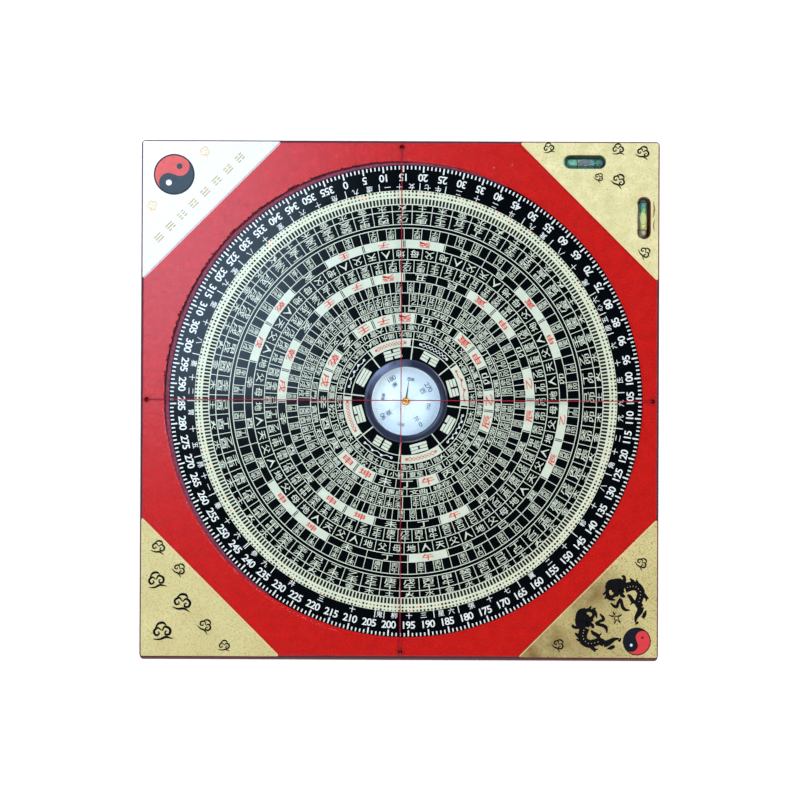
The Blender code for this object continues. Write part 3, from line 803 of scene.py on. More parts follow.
@dataclass(frozen=True)
class Spirit(Finish):
    """A coloured liquid or putty whose colour changes along one axis: painted light and shade for how the
    light falls through the liquid and into the putty's pocket.
    """

    along: int = 0
    low: float = 0.0
    high: float = 1.0
    stops: tuple[tuple[float, Colour], ...] = ()
    flecks: tuple[Fleck, ...] = (Fleck(1100.0, 3.0, 0.4, 0.7, 1.0, shown(170, 190, 160)),)
    tint: float = 0.25

    def colouring(self, graph: Graph, place: Socket) -> Socket:
        """Read the colour off a band of stops by the place along the axis, and streak it."""
        part = graph.parts(place)[self.along]
        share = graph.give("ShaderNodeMapRange", {"Value": part, "From Min": self.low, "From Max": self.high})
        band = graph.add("ShaderNodeValToRGB", {"Fac": share})
        stops = band.color_ramp.elements
        while len(stops) < len(self.stops):
            stops.new(1.0)
        for stop, (where, colour) in zip(stops, self.stops):
            stop.position = where
            stop.color = colour
        return self.flecked(graph, place, band.outputs[0])


@dataclass(frozen=True)
class Halved(Finish):
    """A steel blade whose two halves, parted by a line through its pivot, have unlike colours."""

    pivot: tuple[float, float] = (0.0, 0.0)
    heading: float = 0.0
    seam: float = 0.1 * MM

    def colouring(self, graph: Graph, place: Socket) -> Socket:
        """Colour the half that lies along the heading like the first colour and the rest like the second."""
        parts = graph.parts(place)
        right = graph.less(parts[0], self.pivot[0])
        front = graph.less(parts[1], self.pivot[1])
        across = graph.times(right, math.sin(self.heading))
        ahead = graph.math("ADD", across, graph.times(front, math.cos(self.heading)))
        return graph.blend(graph.ramp(ahead, -self.seam, self.seam), self.second, self.colour)


CREAM = Finish(
    "print_cream", shown(221, 231, 214), shown(207, 217, 197), cloud=300.0, roughness=0.2, specular=0.8
)
BAND = replace(
    CREAM, name="print_band", colour=shown(220, 232, 210), second=shown(228, 228, 196), cloud=520.0,
    sharpness=2.6,
)
WHITE = replace(CREAM, name="print_white", colour=shown(242, 247, 244), second=shown(228, 236, 235))
INK = Finish("print_black", shown(5, 8, 12), shown(10, 12, 17), cloud=300.0, roughness=0.4, specular=0.35)
RED_INK = Finish(
    "print_red", shown(226, 66, 44), shown(208, 46, 32), cloud=500.0, roughness=0.3, specular=0.4
)
DOT_RED = replace(RED_INK, name="print_dot_red", colour=shown(222, 112, 84), second=shown(206, 84, 66))
DIAL_BLACK = Finish(
    "dial_gloss_black", shown(2, 5, 8), shown(5, 8, 12), cloud=90.0, roughness=0.14, rough_swing=0.02,
    specular=0.42, coarse=1200.0, fine=5000.0, grain_depth=0.004 * MM,
)
DIAL_CORE = Finish("dial_core", shown(34, 30, 28), shown(20, 18, 18), cloud=120.0, roughness=0.6)
FRAME_LACQUER = Lacquer(
    "red_lacquer", shown(205, 14, 5), shown(190, 6, 4), cloud=240.0, sharpness=2.6, roughness=0.27,
    rough_swing=0.05, specular=0.7, coarse=420.0, fine=2000.0, fine_share=0.35, grain_depth=0.06 * MM,
    stains=tuple(
        Stain(place, 2.6 * MM, 1.0)
        for place in ((-0.105, -0.0005), (0.105, -0.0005), (0.0005, 0.105), (0.0005, -0.105))
    ),
    stain_colour=shown(70, 12, 14),
)
BASE_LACQUER = Lacquer(
    "red_lacquer_base", shown(168, 14, 14), shown(140, 10, 12), cloud=45.0, roughness=0.5, coarse=500.0,
    fine=2000.0, grain_depth=0.06 * MM,
)
GOLD = Foil(
    "pale_gold_foil", shown(242, 228, 166), shown(222, 204, 140), cloud=70.0, sharpness=2.2, roughness=0.42,
    metallic=0.3, coarse=330.0, fine=2200.0, fine_share=0.3, grain_depth=0.2 * MM,
)
# Painted sheen: the north-east plate's foil is paler, yellower and less metallic than the others, standing in
# for the sheen it shows.
GOLD_SHEEN = replace(
    GOLD, name="gold_foil_painted_sheen", colour=shown(250, 240, 188), second=shown(228, 219, 160), metallic=0.15,
    cloud=190.0, sharpness=2.8, tint=0.34,
)
# Painted reflection: the north-west plate's foil is nearly white, as if washed out by a lamp's glare
# reflected in it.
GOLD_GLARE = replace(
    GOLD, name="gold_foil_painted_glare", colour=shown(242, 233, 232), second=shown(240, 230, 225), tint=0.16,
    grain_depth=0.05 * MM,
)
GOLD_BROWN = replace(
    GOLD, name="brown_gold_foil", tint=0.9, grain_depth=0.3 * MM, stain_colour=shown(136, 104, 50),
    stains=(Stain((0.0585, -0.1046), 46 * MM, 1.5), Stain((0.0805, -0.0795), 17 * MM, 1.0)),
)
GOLD_INK = replace(
    GOLD, name="faint_gold_ink", colour=shown(204, 176, 118), second=shown(192, 164, 104), metallic=0.5,
    tint=0.2,
)
ORANGE_INK = Finish(
    "faint_orange_ink", shown(243, 212, 160), shown(230, 192, 132), cloud=900.0, sharpness=2.5
)
# Painted light on the plates' bevelled sloping edges: a pale line is a painted highlight, and a grey copy of
# it is painted shade.
EDGE_HIGHLIGHT = Finish(
    "foil_edge_painted_highlight", shown(255, 190, 140), shown(250, 214, 170), cloud=700.0, sharpness=2.5, roughness=0.35
)
EDGE_SHADE = Finish("foil_edge_painted_shade", shown(170, 140, 128), shown(140, 110, 100), cloud=700.0, roughness=0.4)
PLATE_INK = Finish("plate_ink", shown(3, 4, 12), shown(12, 11, 14), cloud=900.0, roughness=0.7, specular=0.1)
STAIN = Finish(
    "brown_stain", shown(120, 84, 50), shown(146, 108, 66), cloud=900.0, sharpness=2.5, roughness=0.6
)
RED_INK_PALE = Finish("print_pale_red", shown(226, 96, 92), shown(214, 78, 76), cloud=500.0)
SLATE_INK = Finish("print_slate", shown(52, 66, 76), shown(42, 54, 64), cloud=500.0)
NAVY_INK = Finish(
    "print_navy", shown(12, 18, 30), shown(20, 26, 38), cloud=500.0, roughness=0.5, specular=0.15
)
ROSE_INK = Finish("print_rose", shown(226, 62, 70), shown(216, 54, 62), cloud=500.0, roughness=0.4)
RED_INK_DARK = Finish("print_dark_red", shown(120, 12, 24), shown(96, 8, 18), cloud=500.0, roughness=0.5)
# Painted shadow: the dark line along the torn lip stands for the shaded wall of the well under the torn
# lacquer.
TEAR_SHADOW = Finish(
    "torn_lacquer_shadow", shown(72, 3, 8), shown(38, 2, 6), cloud=900.0, sharpness=2.5, roughness=0.7, specular=0.2,
    grain_depth=0.1 * MM,
)
# Partly painted highlight: the pale pink chips and flecks are worn lacquer and also glints where the torn
# edge and the well's rim catch the light.
CHIP_AND_GLINT = Finish(
    "rubbed_lacquer_and_glints", shown(236, 118, 132), shown(186, 34, 48), cloud=1400.0, sharpness=3.0, roughness=0.5,
    specular=0.4,
)
# Painted shade and reflection: the purplish band in the gap is the red well wall darkened as if in shade and
# tinted by a bluish reflection.
LINING = Finish(
    "well_wall_painted_shade", shown(146, 54, 86), shown(90, 20, 46), cloud=1000.0, sharpness=3.2, roughness=0.5,
    grain_depth=0.08 * MM,
)
# Painted sheen: the stain on the bezel lightens its upper left to a pale slate, as if it caught a lamp's
# reflection.
BEZEL = Finish(
    "slate_plastic", shown(44, 51, 74), shown(34, 40, 60), cloud=200.0, roughness=0.22, specular=0.6,
    stains=(Stain((-0.0075, 0.0135), 13 * MM, 1.3),), stain_colour=shown(122, 136, 174), coarse=1500.0,
    fine=6000.0, grain_depth=0.006 * MM,
)
CASE = Finish("capsule_plastic", shown(206, 214, 224), shown(196, 204, 216), cloud=200.0, roughness=0.35)
CARD = Finish(
    "white_card", shown(211, 227, 231), shown(204, 220, 227), cloud=260.0, sharpness=1.2, roughness=0.6,
    coarse=2500.0, fine=8000.0, grain_depth=0.006 * MM,
)
CARD_INK = Finish("card_ink", shown(70, 88, 118), shown(92, 108, 136), cloud=900.0, roughness=0.6)
CARD_FAINT = replace(CARD_INK, name="card_faint", colour=shown(176, 190, 212), second=shown(190, 204, 222))
BRASS = Finish(
    "turned_brass", shown(226, 168, 78), shown(206, 144, 60), cloud=700.0, roughness=0.22, metallic=1.0,
    coarse=3000.0, fine=9000.0, grain_depth=0.004 * MM,
)
THREAD = Finish(
    "red_thread", shown(186, 26, 58), shown(150, 14, 44), cloud=2500.0, sharpness=2.5, roughness=0.75,
    specular=0.25, coarse=6000.0, fine=16000.0, grain_depth=0.02 * MM,
)
ACRYLIC = Clear("vial_acrylic", (0.93, 0.97, 0.95, 1.0), (0.9, 0.96, 0.93, 1.0), roughness=0.02, depth=1.16)
WINDOW = Clear("window_clear", (0.97, 0.985, 1.0, 1.0), (0.95, 0.975, 1.0, 1.0), roughness=0.03)
STOPPER = Finish("vial_stopper", shown(74, 124, 114), shown(56, 100, 94), cloud=500.0, roughness=0.6)
AIR = Finish(
    "bubble_skin", shown(64, 62, 82), shown(98, 104, 110), cloud=900.0, sharpness=2.5, roughness=0.12,
    specular=0.8,
)
AIR_PALE = replace(AIR, name="pale_bubble_skin", colour=shown(172, 168, 104), second=shown(150, 164, 124))
VIAL_RING = Finish("vial_ring_ink", shown(30, 42, 40), shown(20, 30, 30), cloud=900.0, roughness=0.4)


class Carrier(Enum):
    """The bodies that pieces ride on."""

    BOARD = "board"
    DIAL = "dial"
    MAGNET = "magnet"


def placed(name: str, data: bpy.types.ID) -> bpy.types.Object:
    """Make an object of a mesh, light or camera and put it in the scene."""
    thing = bpy.data.objects.new(name, data)
    bpy.context.scene.collection.objects.link(thing)
    return thing


def as_mesh(name: str, patch: Patch, weld: float = 0.0) -> bpy.types.Mesh:
    """Put a patch's points and faces into a mesh.

    Args:
        name: The mesh's name.
        patch: The surface.
        weld: Points nearer than this are merged, which closes seams and poles. Nothing keeps all.

    Returns:
        The mesh, with outward faces.
    """
    mesh = bpy.data.meshes.new(name)
    corners = np.concatenate([patch.quads.ravel(), patch.triangles.ravel()])
    quads, triangles = len(patch.quads), len(patch.triangles)
    starts = np.concatenate([np.arange(quads) * 4, quads * 4 + np.arange(triangles) * 3])
    mesh.vertices.add(len(patch.points))
    mesh.vertices.foreach_set("co", patch.points.astype(np.float32).ravel())
    mesh.loops.add(len(corners))
    mesh.loops.foreach_set("vertex_index", corners.astype(np.int32))
    mesh.polygons.add(len(starts))
    mesh.polygons.foreach_set("loop_start", starts.astype(np.int32))
    mesh.update(calc_edges=True)
    if weld:
        work = bmesh.new()
        work.from_mesh(mesh)
        bmesh.ops.remove_doubles(work, verts=work.verts, dist=weld)
        bmesh.ops.recalc_face_normals(work, faces=work.faces)
        work.to_mesh(mesh)
        work.free()
    mesh.validate()
    return mesh


def add_piece(
    name: str,
    patch: Patch,
    finish: Finish,
    carrier: Carrier,
    smooth: float | None = None,
    weld: float = 0.0,
) -> bpy.types.Object:
    """Make a piece of the object from a surface, give it its finish and let it ride on a body.

    Args:
        name: The piece's name.
        patch: Its surface, in place.
        finish: Its finish.
        carrier: The body that it moves with.
        smooth: The angle in degrees up to which neighbouring faces are shaded smooth.
        weld: Points nearer than this are merged.

    Returns:
        The new object.
    """
    mesh = as_mesh(name, patch, weld)
    if smooth is None:
        mesh.shade_flat()
    else:
        mesh.shade_smooth()
        mesh.set_sharp_from_angle(angle=math.radians(smooth))
    mesh.materials.append(finish.material())
    piece = placed(name, mesh)
    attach(piece, carrier.value)
    log.info("%s rides on %s with %d faces", name, carrier.value, len(mesh.polygons))
    return piece


def dress(node: str, finish: Finish) -> None:
    """Give a node of the frame its finish."""
    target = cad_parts[node]
    target.data.materials.clear()
    target.data.materials.append(finish.material())
    log.info("%s is dressed in %s", node, finish.name)


@dataclass(frozen=True)
class Glyph:
    """The flat outline of a mark: its points, the triangles that fill it and the edges round it."""

    points: Array
    triangles: Array
    border: Array


class Glyphs:
    """Reads the outline of each mark once from the font."""

    HAN_BOX = (0.05, -0.08, 0.95, 0.84)
    DIGIT_BOX = (0.03, -0.01, 0.47, 0.69)
    DIGIT_WEIGHT = 0.016
    HAN_WEIGHT = 0.008
    REACH = 0.72
    LEAST_AREA = 1e-12

    def __init__(self) -> None:
        """Start with no outline read."""
        self.read: dict[str, Glyph] = {}

    def outline(self, mark: str) -> Glyph:
        """Return a mark's outline, grown by its weight, or plain where that drives it into spikes."""
        if mark not in self.read:
            glyph = self.trace(mark, self.DIGIT_WEIGHT if ord(mark) < 128 else self.HAN_WEIGHT)
            spiked = np.abs(glyph.points).max() > self.REACH
            self.read[mark] = self.trace(mark, 0.0) if spiked else glyph
        return self.read[mark]

    def trace(self, mark: str, weight: float) -> Glyph:
        """Read a mark's outline from the font, grown outwards by a weight.

        The outline is scaled to a box from -1/2 to 1/2 both ways. A border edge is an edge of one
        triangle that no other triangle runs back along.

        Args:
            mark: The character.
            weight: How far the outline grows, in the font's own size.

        Returns:
            The outline, which a weight can drive into long spikes at sharp corners.
        """
        plain = ord(mark) < 128
        text = bpy.data.curves.new("mark", "FONT")
        text.body = mark
        text.resolution_u = 3 if plain else 1
        text.offset = weight
        holder = placed("mark", text)
        solid = holder.evaluated_get(bpy.context.evaluated_depsgraph_get())
        mesh = solid.to_mesh()
        mesh.calc_loop_triangles()
        points = np.zeros(len(mesh.vertices) * 3, np.float32)
        triangles = np.zeros(len(mesh.loop_triangles) * 3, np.int32)
        mesh.vertices.foreach_get("co", points)
        mesh.loop_triangles.foreach_get("vertices", triangles)
        solid.to_mesh_clear()
        bpy.data.objects.remove(holder)
        bpy.data.curves.remove(text)
        flat = points.reshape(-1, 3)[:, :2].astype(float)
        faces = triangles.reshape(-1, 3).astype(np.int64)
        a, b, c = (flat[faces[:, i]] for i in range(3))
        area = (b[:, 0] - a[:, 0]) * (c[:, 1] - a[:, 1]) - (b[:, 1] - a[:, 1]) * (c[:, 0] - a[:, 0])
        faces = np.where((area < 0)[:, None], faces[:, ::-1], faces)[np.abs(area) > self.LEAST_AREA]
        edges = np.concatenate([faces[:, [0, 1]], faces[:, [1, 2]], faces[:, [2, 0]]])
        count = len(flat)
        alone = ~np.isin(edges[:, 0] * count + edges[:, 1], edges[:, 1] * count + edges[:, 0])
        left, low, right, high = self.DIGIT_BOX if plain else self.HAN_BOX
        middle = np.array(((left + right) / 2, (low + high) / 2))
        size = np.array((right - left, high - low))
        return Glyph((flat - middle) / size, faces, edges[alone])

    def stamp(self, mark: str, centre: Array, right: Array, up: Array, low: float, high: float) -> Patch:
        """Raise a mark as a thin closed prism.

        A point of the outline at (u, v) lies at the centre plus u times right plus v times up.

        Args:
            mark: The character.
            centre: The middle of its box in the plane.
            right: The box's width, as a vector along its reading direction.
            up: The box's height, as a vector towards its head.
            low: The lower level.
            high: The upper level.

        Returns:
            The closed prism.
        """
        glyph = self.outline(mark)
        flat = centre + glyph.points[:, :1] * right + glyph.points[:, 1:] * up
        count = len(flat)
        points = np.zeros((2, count, 3))
        points[..., :2] = flat
        points[0, :, 2] = low
        points[1, :, 2] = high
        start, end = glyph.border[:, 0], glyph.border[:, 1]
        walls = np.stack([start + count, start, end, end + count], axis=1)
        ends = np.concatenate([glyph.triangles + count, glyph.triangles[:, ::-1]])
        return Patch.of(points, walls, ends).facing_out()


GLYPHS = Glyphs()


class Layout(Enum):
    """How the marks of one cell stand."""

    COLUMN = "one outside the other"
    ROW = "side by side"


class Layer(Enum):
    """How high each kind of ink stands in metres, so that no two kinds share a level."""

    FILL = 0.02 * MM
    CIRCLE = 0.03 * MM
    SPOKE = 0.04 * MM
    MARK = 0.05 * MM
    OVER = 0.06 * MM


@dataclass
class RoundPrint:
    """Collects raised ink on a round face. Degrees run clockwise, seen from above."""

    centre: Array
    level: float
    zero: float
    lift: float = 0.0
    sunk: float = 0.01 * MM
    parts: list[Patch] = field(default_factory=list)

    def way(self, degrees: Array | float) -> Array:
        """Give the outward direction at each of the dial's degrees."""
        return outward(np.asarray(degrees, float) + self.zero)

    def side(self, degrees: Array | float) -> Array:
        """Give the clockwise direction at each of the dial's degrees."""
        return self.way(degrees)[..., ::-1] * (1, -1)

    def spot(self, degrees: Array | float, radius: Array | float) -> Array:
        """Give the place at these degrees and radii."""
        return self.centre + self.way(degrees) * np.asarray(radius, float)[..., None]

    @property
    def low(self) -> float:
        """The level from which the ink rises."""
        return self.level - self.sunk

    def top(self, layer: Layer) -> float:
        """Give the level of the ink's top for this kind of ink."""
        return self.level + self.lift + layer.value

    def circle(self, radius: float, width: float, steps: int = 240) -> None:
        """Print a line round the face."""
        inner, outer = radius - width / 2, radius + width / 2
        self.parts.append(ring_of(self.centre, inner, outer, self.low, self.top(Layer.CIRCLE), steps))

    def spokes(self, degrees: Array, inner: float, outer: float, width: float) -> None:
        """Print straight lines that run outwards."""
        degrees = np.atleast_1d(np.asarray(degrees, float))
        half = self.side(degrees) * width / 2
        near = self.centre + self.way(degrees) * inner
        far = self.centre + self.way(degrees) * outer
        corners = np.stack([near - half, near + half, far + half, far - half], axis=1)
        self.parts.append(prisms(corners, self.low, self.top(Layer.SPOKE)))

    def sectors(self, starts: Array, ends: Array, inner: float, outer: float, steps: int = 8) -> None:
        """Fill the space between two radii from each start to each end degree."""
        starts = np.atleast_1d(np.asarray(starts, float))[:, None]
        ends = np.atleast_1d(np.asarray(ends, float))[:, None]
        degrees = starts + (ends - starts) * np.linspace(0, 1, steps + 1)[None]
        high = self.top(Layer.FILL)
        self.parts.append(swept(self.centre, self.way(degrees), inner, outer, self.low, high))

    def text(
        self,
        marks: str,
        degree: float,
        radius: float,
        width: float,
        height: float,
        layout: Layout = Layout.ROW,
        gap: float = 0.0,
        heads_out: bool = False,
    ) -> None:
        """Print the marks of one cell about a place.

        Args:
            marks: The characters.
            degree: The degree at their middle.
            radius: The radius at their middle.
            width: The width of one mark.
            height: The height of one mark.
            layout: Whether they stand side by side or one outside the other.
            gap: The space between two marks.
            heads_out: Whether their heads point outwards.
        """
        up = self.way(degree) * (1 if heads_out else -1)
        right = self.side(degree) * (1 if heads_out else -1)
        middle = self.spot(degree, radius)
        step = right * (width + gap) if layout is Layout.ROW else -up * (height + gap)
        for number, mark in enumerate(marks):
            if mark == " ":
                continue
            place = middle + step * (number - (len(marks) - 1) / 2)
            high = self.top(Layer.MARK)
            self.parts.append(GLYPHS.stamp(mark, place, right * width, up * height, self.low, high))

    def piece(self, name: str, finish: Finish, slot: str = "dial_print") -> bpy.types.Object:
        """Make the collected ink a piece that rides on the dial."""
        return add_piece(name, Patch.joined(self.parts), finish, Carrier.DIAL)


STEMS = "甲乙丙丁戊己庚辛壬癸"
BRANCHES = "子丑寅卯辰巳午未申酉戌亥"
DIRECTIONS = "壬子癸丑艮寅甲卯乙辰巽巳丙午丁未坤申庚酉辛戌乾亥"
RED_DIRECTIONS = "壬子癸寅甲乙辰午坤申戌乾"
ELEMENTS = "金火木土金火水土金木水土火木水金火木土金火水土金木水土火木水"
FAMILY = "母父地人父天人地" * 8
SOLAR_TERMS = (
    "大雪 冬至 小寒 大寒 立春 雨水 驚蟄 春分 清明 穀雨 立夏 小滿 "
    "芒種 夏至 小暑 大暑 立秋 處暑 白露 秋分 寒露 霜降 立冬 小雪"
).split()
NINE_STARS = "貪狼 巨門 祿存 文曲 廉貞 武曲 破軍 左輔 右弼".split()
POLARITIES = "陽水 陰水 陰水 陰土 陽土 陽木 陽木 陰木 陰木 陽土 陰木 陰火".split()
MANSIONS = (
    ("角", 12.75), ("亢", 9.75), ("氐", 16.25), ("房", 5.75), ("心", 6.0), ("尾", 18.0), ("箕", 9.5),
    ("斗", 22.75), ("牛", 7.0), ("女", 11.0), ("虛", 9.25), ("危", 16.0), ("室", 18.25), ("壁", 9.75),
    ("奎", 18.0), ("婁", 12.75), ("胃", 15.25), ("昴", 11.0), ("畢", 16.5), ("觜", 0.5), ("參", 9.5),
    ("井", 30.25), ("鬼", 2.5), ("柳", 13.5), ("星", 6.75), ("張", 17.75), ("翼", 20.25), ("軫", 18.75),
)
NUMBERS = "一二三四五六七八九"
TRIGRAMS = ("010", "001", "100", "011", "101", "000", "110", "111")


def cycle_names() -> list[str]:
    """Name the sixty cells of a ring: for each branch its five stems, all even or all odd."""
    return [STEMS[branch % 2 + 2 * step] + BRANCHES[branch] for branch in range(12) for step in range(5)]


def cycle_elements() -> list[str]:
    """Name the element of each of the sixty cells, by the cell's place in the sixty-year cycle."""
    places = {STEMS[year % 10] + BRANCHES[year % 12]: year for year in range(60)}
    return [ELEMENTS[places[name] // 2] for name in cycle_names()]


def five_part_names() -> list[str]:
    """Name five cells for each of the 24 directions: the second and the fourth carry the branch of
    the direction after a stem, which differs for even and odd branches. The others are blank."""
    names = []
    for number in range(24):
        branch = (number - 1) // 2 % 12
        first, second = "丁辛" if branch % 2 else "丙庚"
        names += ["", first + BRANCHES[branch], "", second + BRANCHES[branch], ""]
    return names


def seventy_two_names() -> list[str]:
    """Name the seventy-two cells: for each branch its five stems and a blank."""
    names = cycle_names()
    return [name for first in range(0, 60, 5) for name in (*names[first:first + 5], "")]


@dataclass(frozen=True)
class CellRing:
    """One ring of equal cells with pale marks on black."""

    name: str
    inner: float
    outer: float
    border: float
    marks: tuple[str, ...]
    mark_width: float
    mark_height: float
    layout: Layout = Layout.COLUMN
    gap: float = 0.0

    def print_on(self, ink: RoundPrint, line: float) -> None:
        """Print the lines between the cells and the marks in them."""
        pitch = TURN / len(self.marks)
        borders = self.border + pitch * np.arange(len(self.marks))
        ink.spokes(borders, self.inner, self.outer, line)
        middle = (self.inner + self.outer) / 2
        for border, marks in zip(borders, self.marks):
            ink.text(
                marks, border + pitch / 2, middle, self.mark_width, self.mark_height, self.layout, self.gap
            )


@dataclass
class Dial:
    """The turning dial: its black sheet and the rings printed on it."""

    zero: float = -15.85
    line: float = 0.34 * MM
    divider: float = 0.28 * MM
    lines: tuple[float, ...] = tuple(
        radius * MM
        for radius in (
            22.7, 25.9, 29.2, 32.4, 36.5, 39.6, 45.0, 49.8, 53.3, 58.8, 63.75, 67.0, 72.0, 73.5, 79.0, 81.8,
        )
    )
    dots_inner: float = 84.7 * MM
    dots_outer: float = 87.7 * MM
    ladder_inner: float = 81.8 * MM
    mansion_outer: float = 90.8 * MM
    numeral_radius: float = 93.1 * MM
    numeral_height: float = 3.0 * MM
    numeral_width: float = 1.95 * MM
    tick_outer: float = 97.9 * MM
    tick_inner: float = 96.4 * MM
    long_tick_inner: float = 95.3 * MM
    tick_width: float = 0.55 * MM
    long_tick_share: float = 1.1
    dot_radii: tuple[float, ...] = (0.3 * MM, 0.4 * MM, 0.5 * MM)
    red_dot_radius: float = 0.38 * MM
    red_dot_share: float = 0.08
    dot_shares: tuple[float, float] = (0.34, 0.82)
    ladder_inset: float = 0.25 * MM
    ladder_span: tuple[float, float] = (0.19, 0.81)
    mansion_start: float = 8.5
    mansion_mark: float = 2.5 * MM
    mansion_line_share: float = 1.2
    mansion_space: float = 0.4
    cell_margin: float = 0.36 * MM
    star_folds: tuple[int, ...] = (11, 9, 7, 11, 9, 7, 11, 9)
    star_doubles: tuple[int, ...] = (0, 1, 4, 6)
    star_reach: float = 15.0
    star_margin: float = 2.3
    star_swing: float = 0.72 * MM
    star_single: float = 0.55
    star_width: float = 0.26 * MM
    star_radii: tuple[float, float] = (0.24 * MM, 0.52 * MM)
    star_line_share: float = 1.4
    trigram_inner: float = 17.2 * MM
    trigram_first: float = 18.15 * MM
    trigram_half: float = 3.6 * MM
    trigram_line: float = 0.5 * MM
    bar_width: float = 1.12 * MM
    bar_pitch: float = 1.34 * MM
    bar_gap: float = 0.8 * MM
    raise_by: float = 0.05 * MM

    def __post_init__(self) -> None:
        """Take the dial's place and level from the frame."""
        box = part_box("dial_face")
        self.centre = middle_of(box)
        self.level = box[1].z

    def ink(self, raised: bool = False) -> RoundPrint:
        """Start a new print on the dial, raised where it goes over another one."""
        return RoundPrint(self.centre, self.level, self.zero, lift=self.raise_by if raised else 0.0)

    def build(self) -> None:
        """Dress the sheet and print every ring."""
        dress("dial_face", DIAL_BLACK)
        dress("dial_disc", DIAL_CORE)
        self.print_lines()
        self.print_scale()
        self.print_mansions()
        self.print_dots()
        self.print_cells()
        self.print_directions()
        self.print_stars()
        self.print_trigrams()

    def print_lines(self) -> None:
        """Print the round lines between the rings."""
        ink = self.ink()
        for radius in self.lines:
            ink.circle(radius, self.line)
        ink.piece("dial_ring_lines", CREAM)

    def print_scale(self) -> None:
        """Print the degree ticks and the numerals at every fifth degree."""
        ink = self.ink()
        degrees = np.arange(360)
        long = degrees % 5 == 0
        ink.spokes(degrees[~long], self.tick_inner, self.tick_outer, self.tick_width)
        wide = self.tick_width * self.long_tick_share
        ink.spokes(degrees[long], self.long_tick_inner, self.tick_outer, wide)
        ink.piece("dial_degree_ticks", WHITE)
        ink = self.ink()
        for degree in range(0, 360, 5):
            ink.text(str(degree), degree, self.numeral_radius, self.numeral_width, self.numeral_height)
        ink.piece("dial_degree_numerals", WHITE)

    def print_mansions(self) -> None:
        """Print the borders, names and widths of the twenty-eight lunar mansions."""
        ink = self.ink()
        scale = TURN / sum(width for _, width in MANSIONS)
        start = self.mansion_start + sum(width for _, width in MANSIONS[:10]) * scale
        middle = (self.dots_outer + self.mansion_outer) / 2
        for name, width in MANSIONS:
            ink.spokes(start, self.dots_outer, self.mansion_outer, self.divider * self.mansion_line_share)
            tens, ones = divmod(int(width), 10)
            number = ("" if tens < 2 else NUMBERS[tens - 1]) + ("十" if tens else "")
            number += NUMBERS[ones - 1] if ones else ""
            marks = name + number if width >= 5 else name if width >= 2 else ""
            step = width * scale / (len(marks) + self.mansion_space)
            for place, mark in enumerate(marks):
                azimuth = start - step * (place + 0.5 + self.mansion_space / 2)
                ink.text(mark, azimuth, middle, self.mansion_mark, self.mansion_mark)
            start -= width * scale
        ink.piece("dial_mansion_ring", WHITE)

    def print_dots(self) -> None:
        """Print the pale band, the ladder of dark cells in it and the two rows of dots outside."""
        ink = self.ink()
        high = ink.top(Layer.FILL)
        ink.parts.append(ring_of(self.centre, self.ladder_inner, self.dots_outer, ink.low, high, 360))
        ink.piece("dial_pale_band", BAND)
        ink = self.ink(raised=True)
        degrees = np.arange(360)
        inner, outer = self.ladder_inner + self.ladder_inset, self.dots_inner - self.ladder_inset
        starts, ends = (degrees + share for share in self.ladder_span)
        ink.sectors(starts, ends, inner, outer, steps=1)
        random = np.random.default_rng(28)
        degree = np.tile(degrees + 0.5, 2)
        radius = self.dots_inner + (self.dots_outer - self.dots_inner) * np.repeat(self.dot_shares, 360)
        red = random.random(len(degree)) < self.red_dot_share
        kind = np.where(red, -1, random.integers(0, len(self.dot_radii), len(degree)))
        for number, size in enumerate(self.dot_radii):
            chosen = kind == number
            spots = ink.spot(degree[chosen], radius[chosen])
            ink.parts.append(discs(spots, size, ink.low, ink.top(Layer.MARK)))
        ink.piece("dial_ladder_and_dots", INK)
        ink = self.ink(raised=True)
        spots = ink.spot(degree[red], radius[red])
        ink.parts.append(discs(spots, self.red_dot_radius, ink.low, ink.top(Layer.MARK)))
        ink.piece("dial_red_dots", DOT_RED)

    def cell_rings(self) -> list[CellRing]:
        """List the rings of equal cells, from the edge inwards, with their sizes in millimetres."""
        sixty, fives = cycle_names(), five_part_names()
        stars = [NINE_STARS[number % 9] for number in range(24)]
        column, row = Layout.COLUMN, Layout.ROW
        rings = (
            ("elements", 79.0, 81.8, -0.5, cycle_elements(), 3.6, 2.2, column, 0.0),
            ("sixty_outer", 73.5, 79.0, -0.5, sixty, 4.6, 2.35, column, 0.0),
            ("fives_outer", 67.0, 72.0, -15.0, fives, 2.5, 2.1, column, 0.0),
            ("family", 58.8, 63.75, 16.3, FAMILY, 3.5, 3.1, column, 0.0),
            ("sixty_inner", 53.3, 58.8, 1.0, sixty, 3.4, 2.3, column, 0.0),
            ("fives_inner", 45.0, 49.8, -22.5, fives, 1.75, 1.95, column, 0.0),
            ("seventy_two", 39.6, 45.0, -12.5, seventy_two_names(), 2.6, 2.25, column, 0.0),
            ("nine_stars", 36.5, 39.6, 0.0, stars, 3.6, 2.1, row, 0.2),
            ("solar_terms", 29.2, 32.4, -15.0, SOLAR_TERMS, 2.9, 2.3, row, 0.1),
            ("polarities", 25.9, 29.2, -7.5, POLARITIES * 2, 2.6, 2.2, row, 0.1),
        )
        return [
            CellRing(name, inner * MM, outer * MM, border, tuple(cells), wide * MM, tall * MM, way, gap * MM)
            for name, inner, outer, border, cells, wide, tall, way, gap in rings
        ]

    def print_cells(self) -> None:
        """Print every ring of equal cells."""
        for ring in self.cell_rings():
            ink = self.ink()
            ring.print_on(ink, self.divider)
            ink.piece("dial_ring_" + ring.name, CREAM)

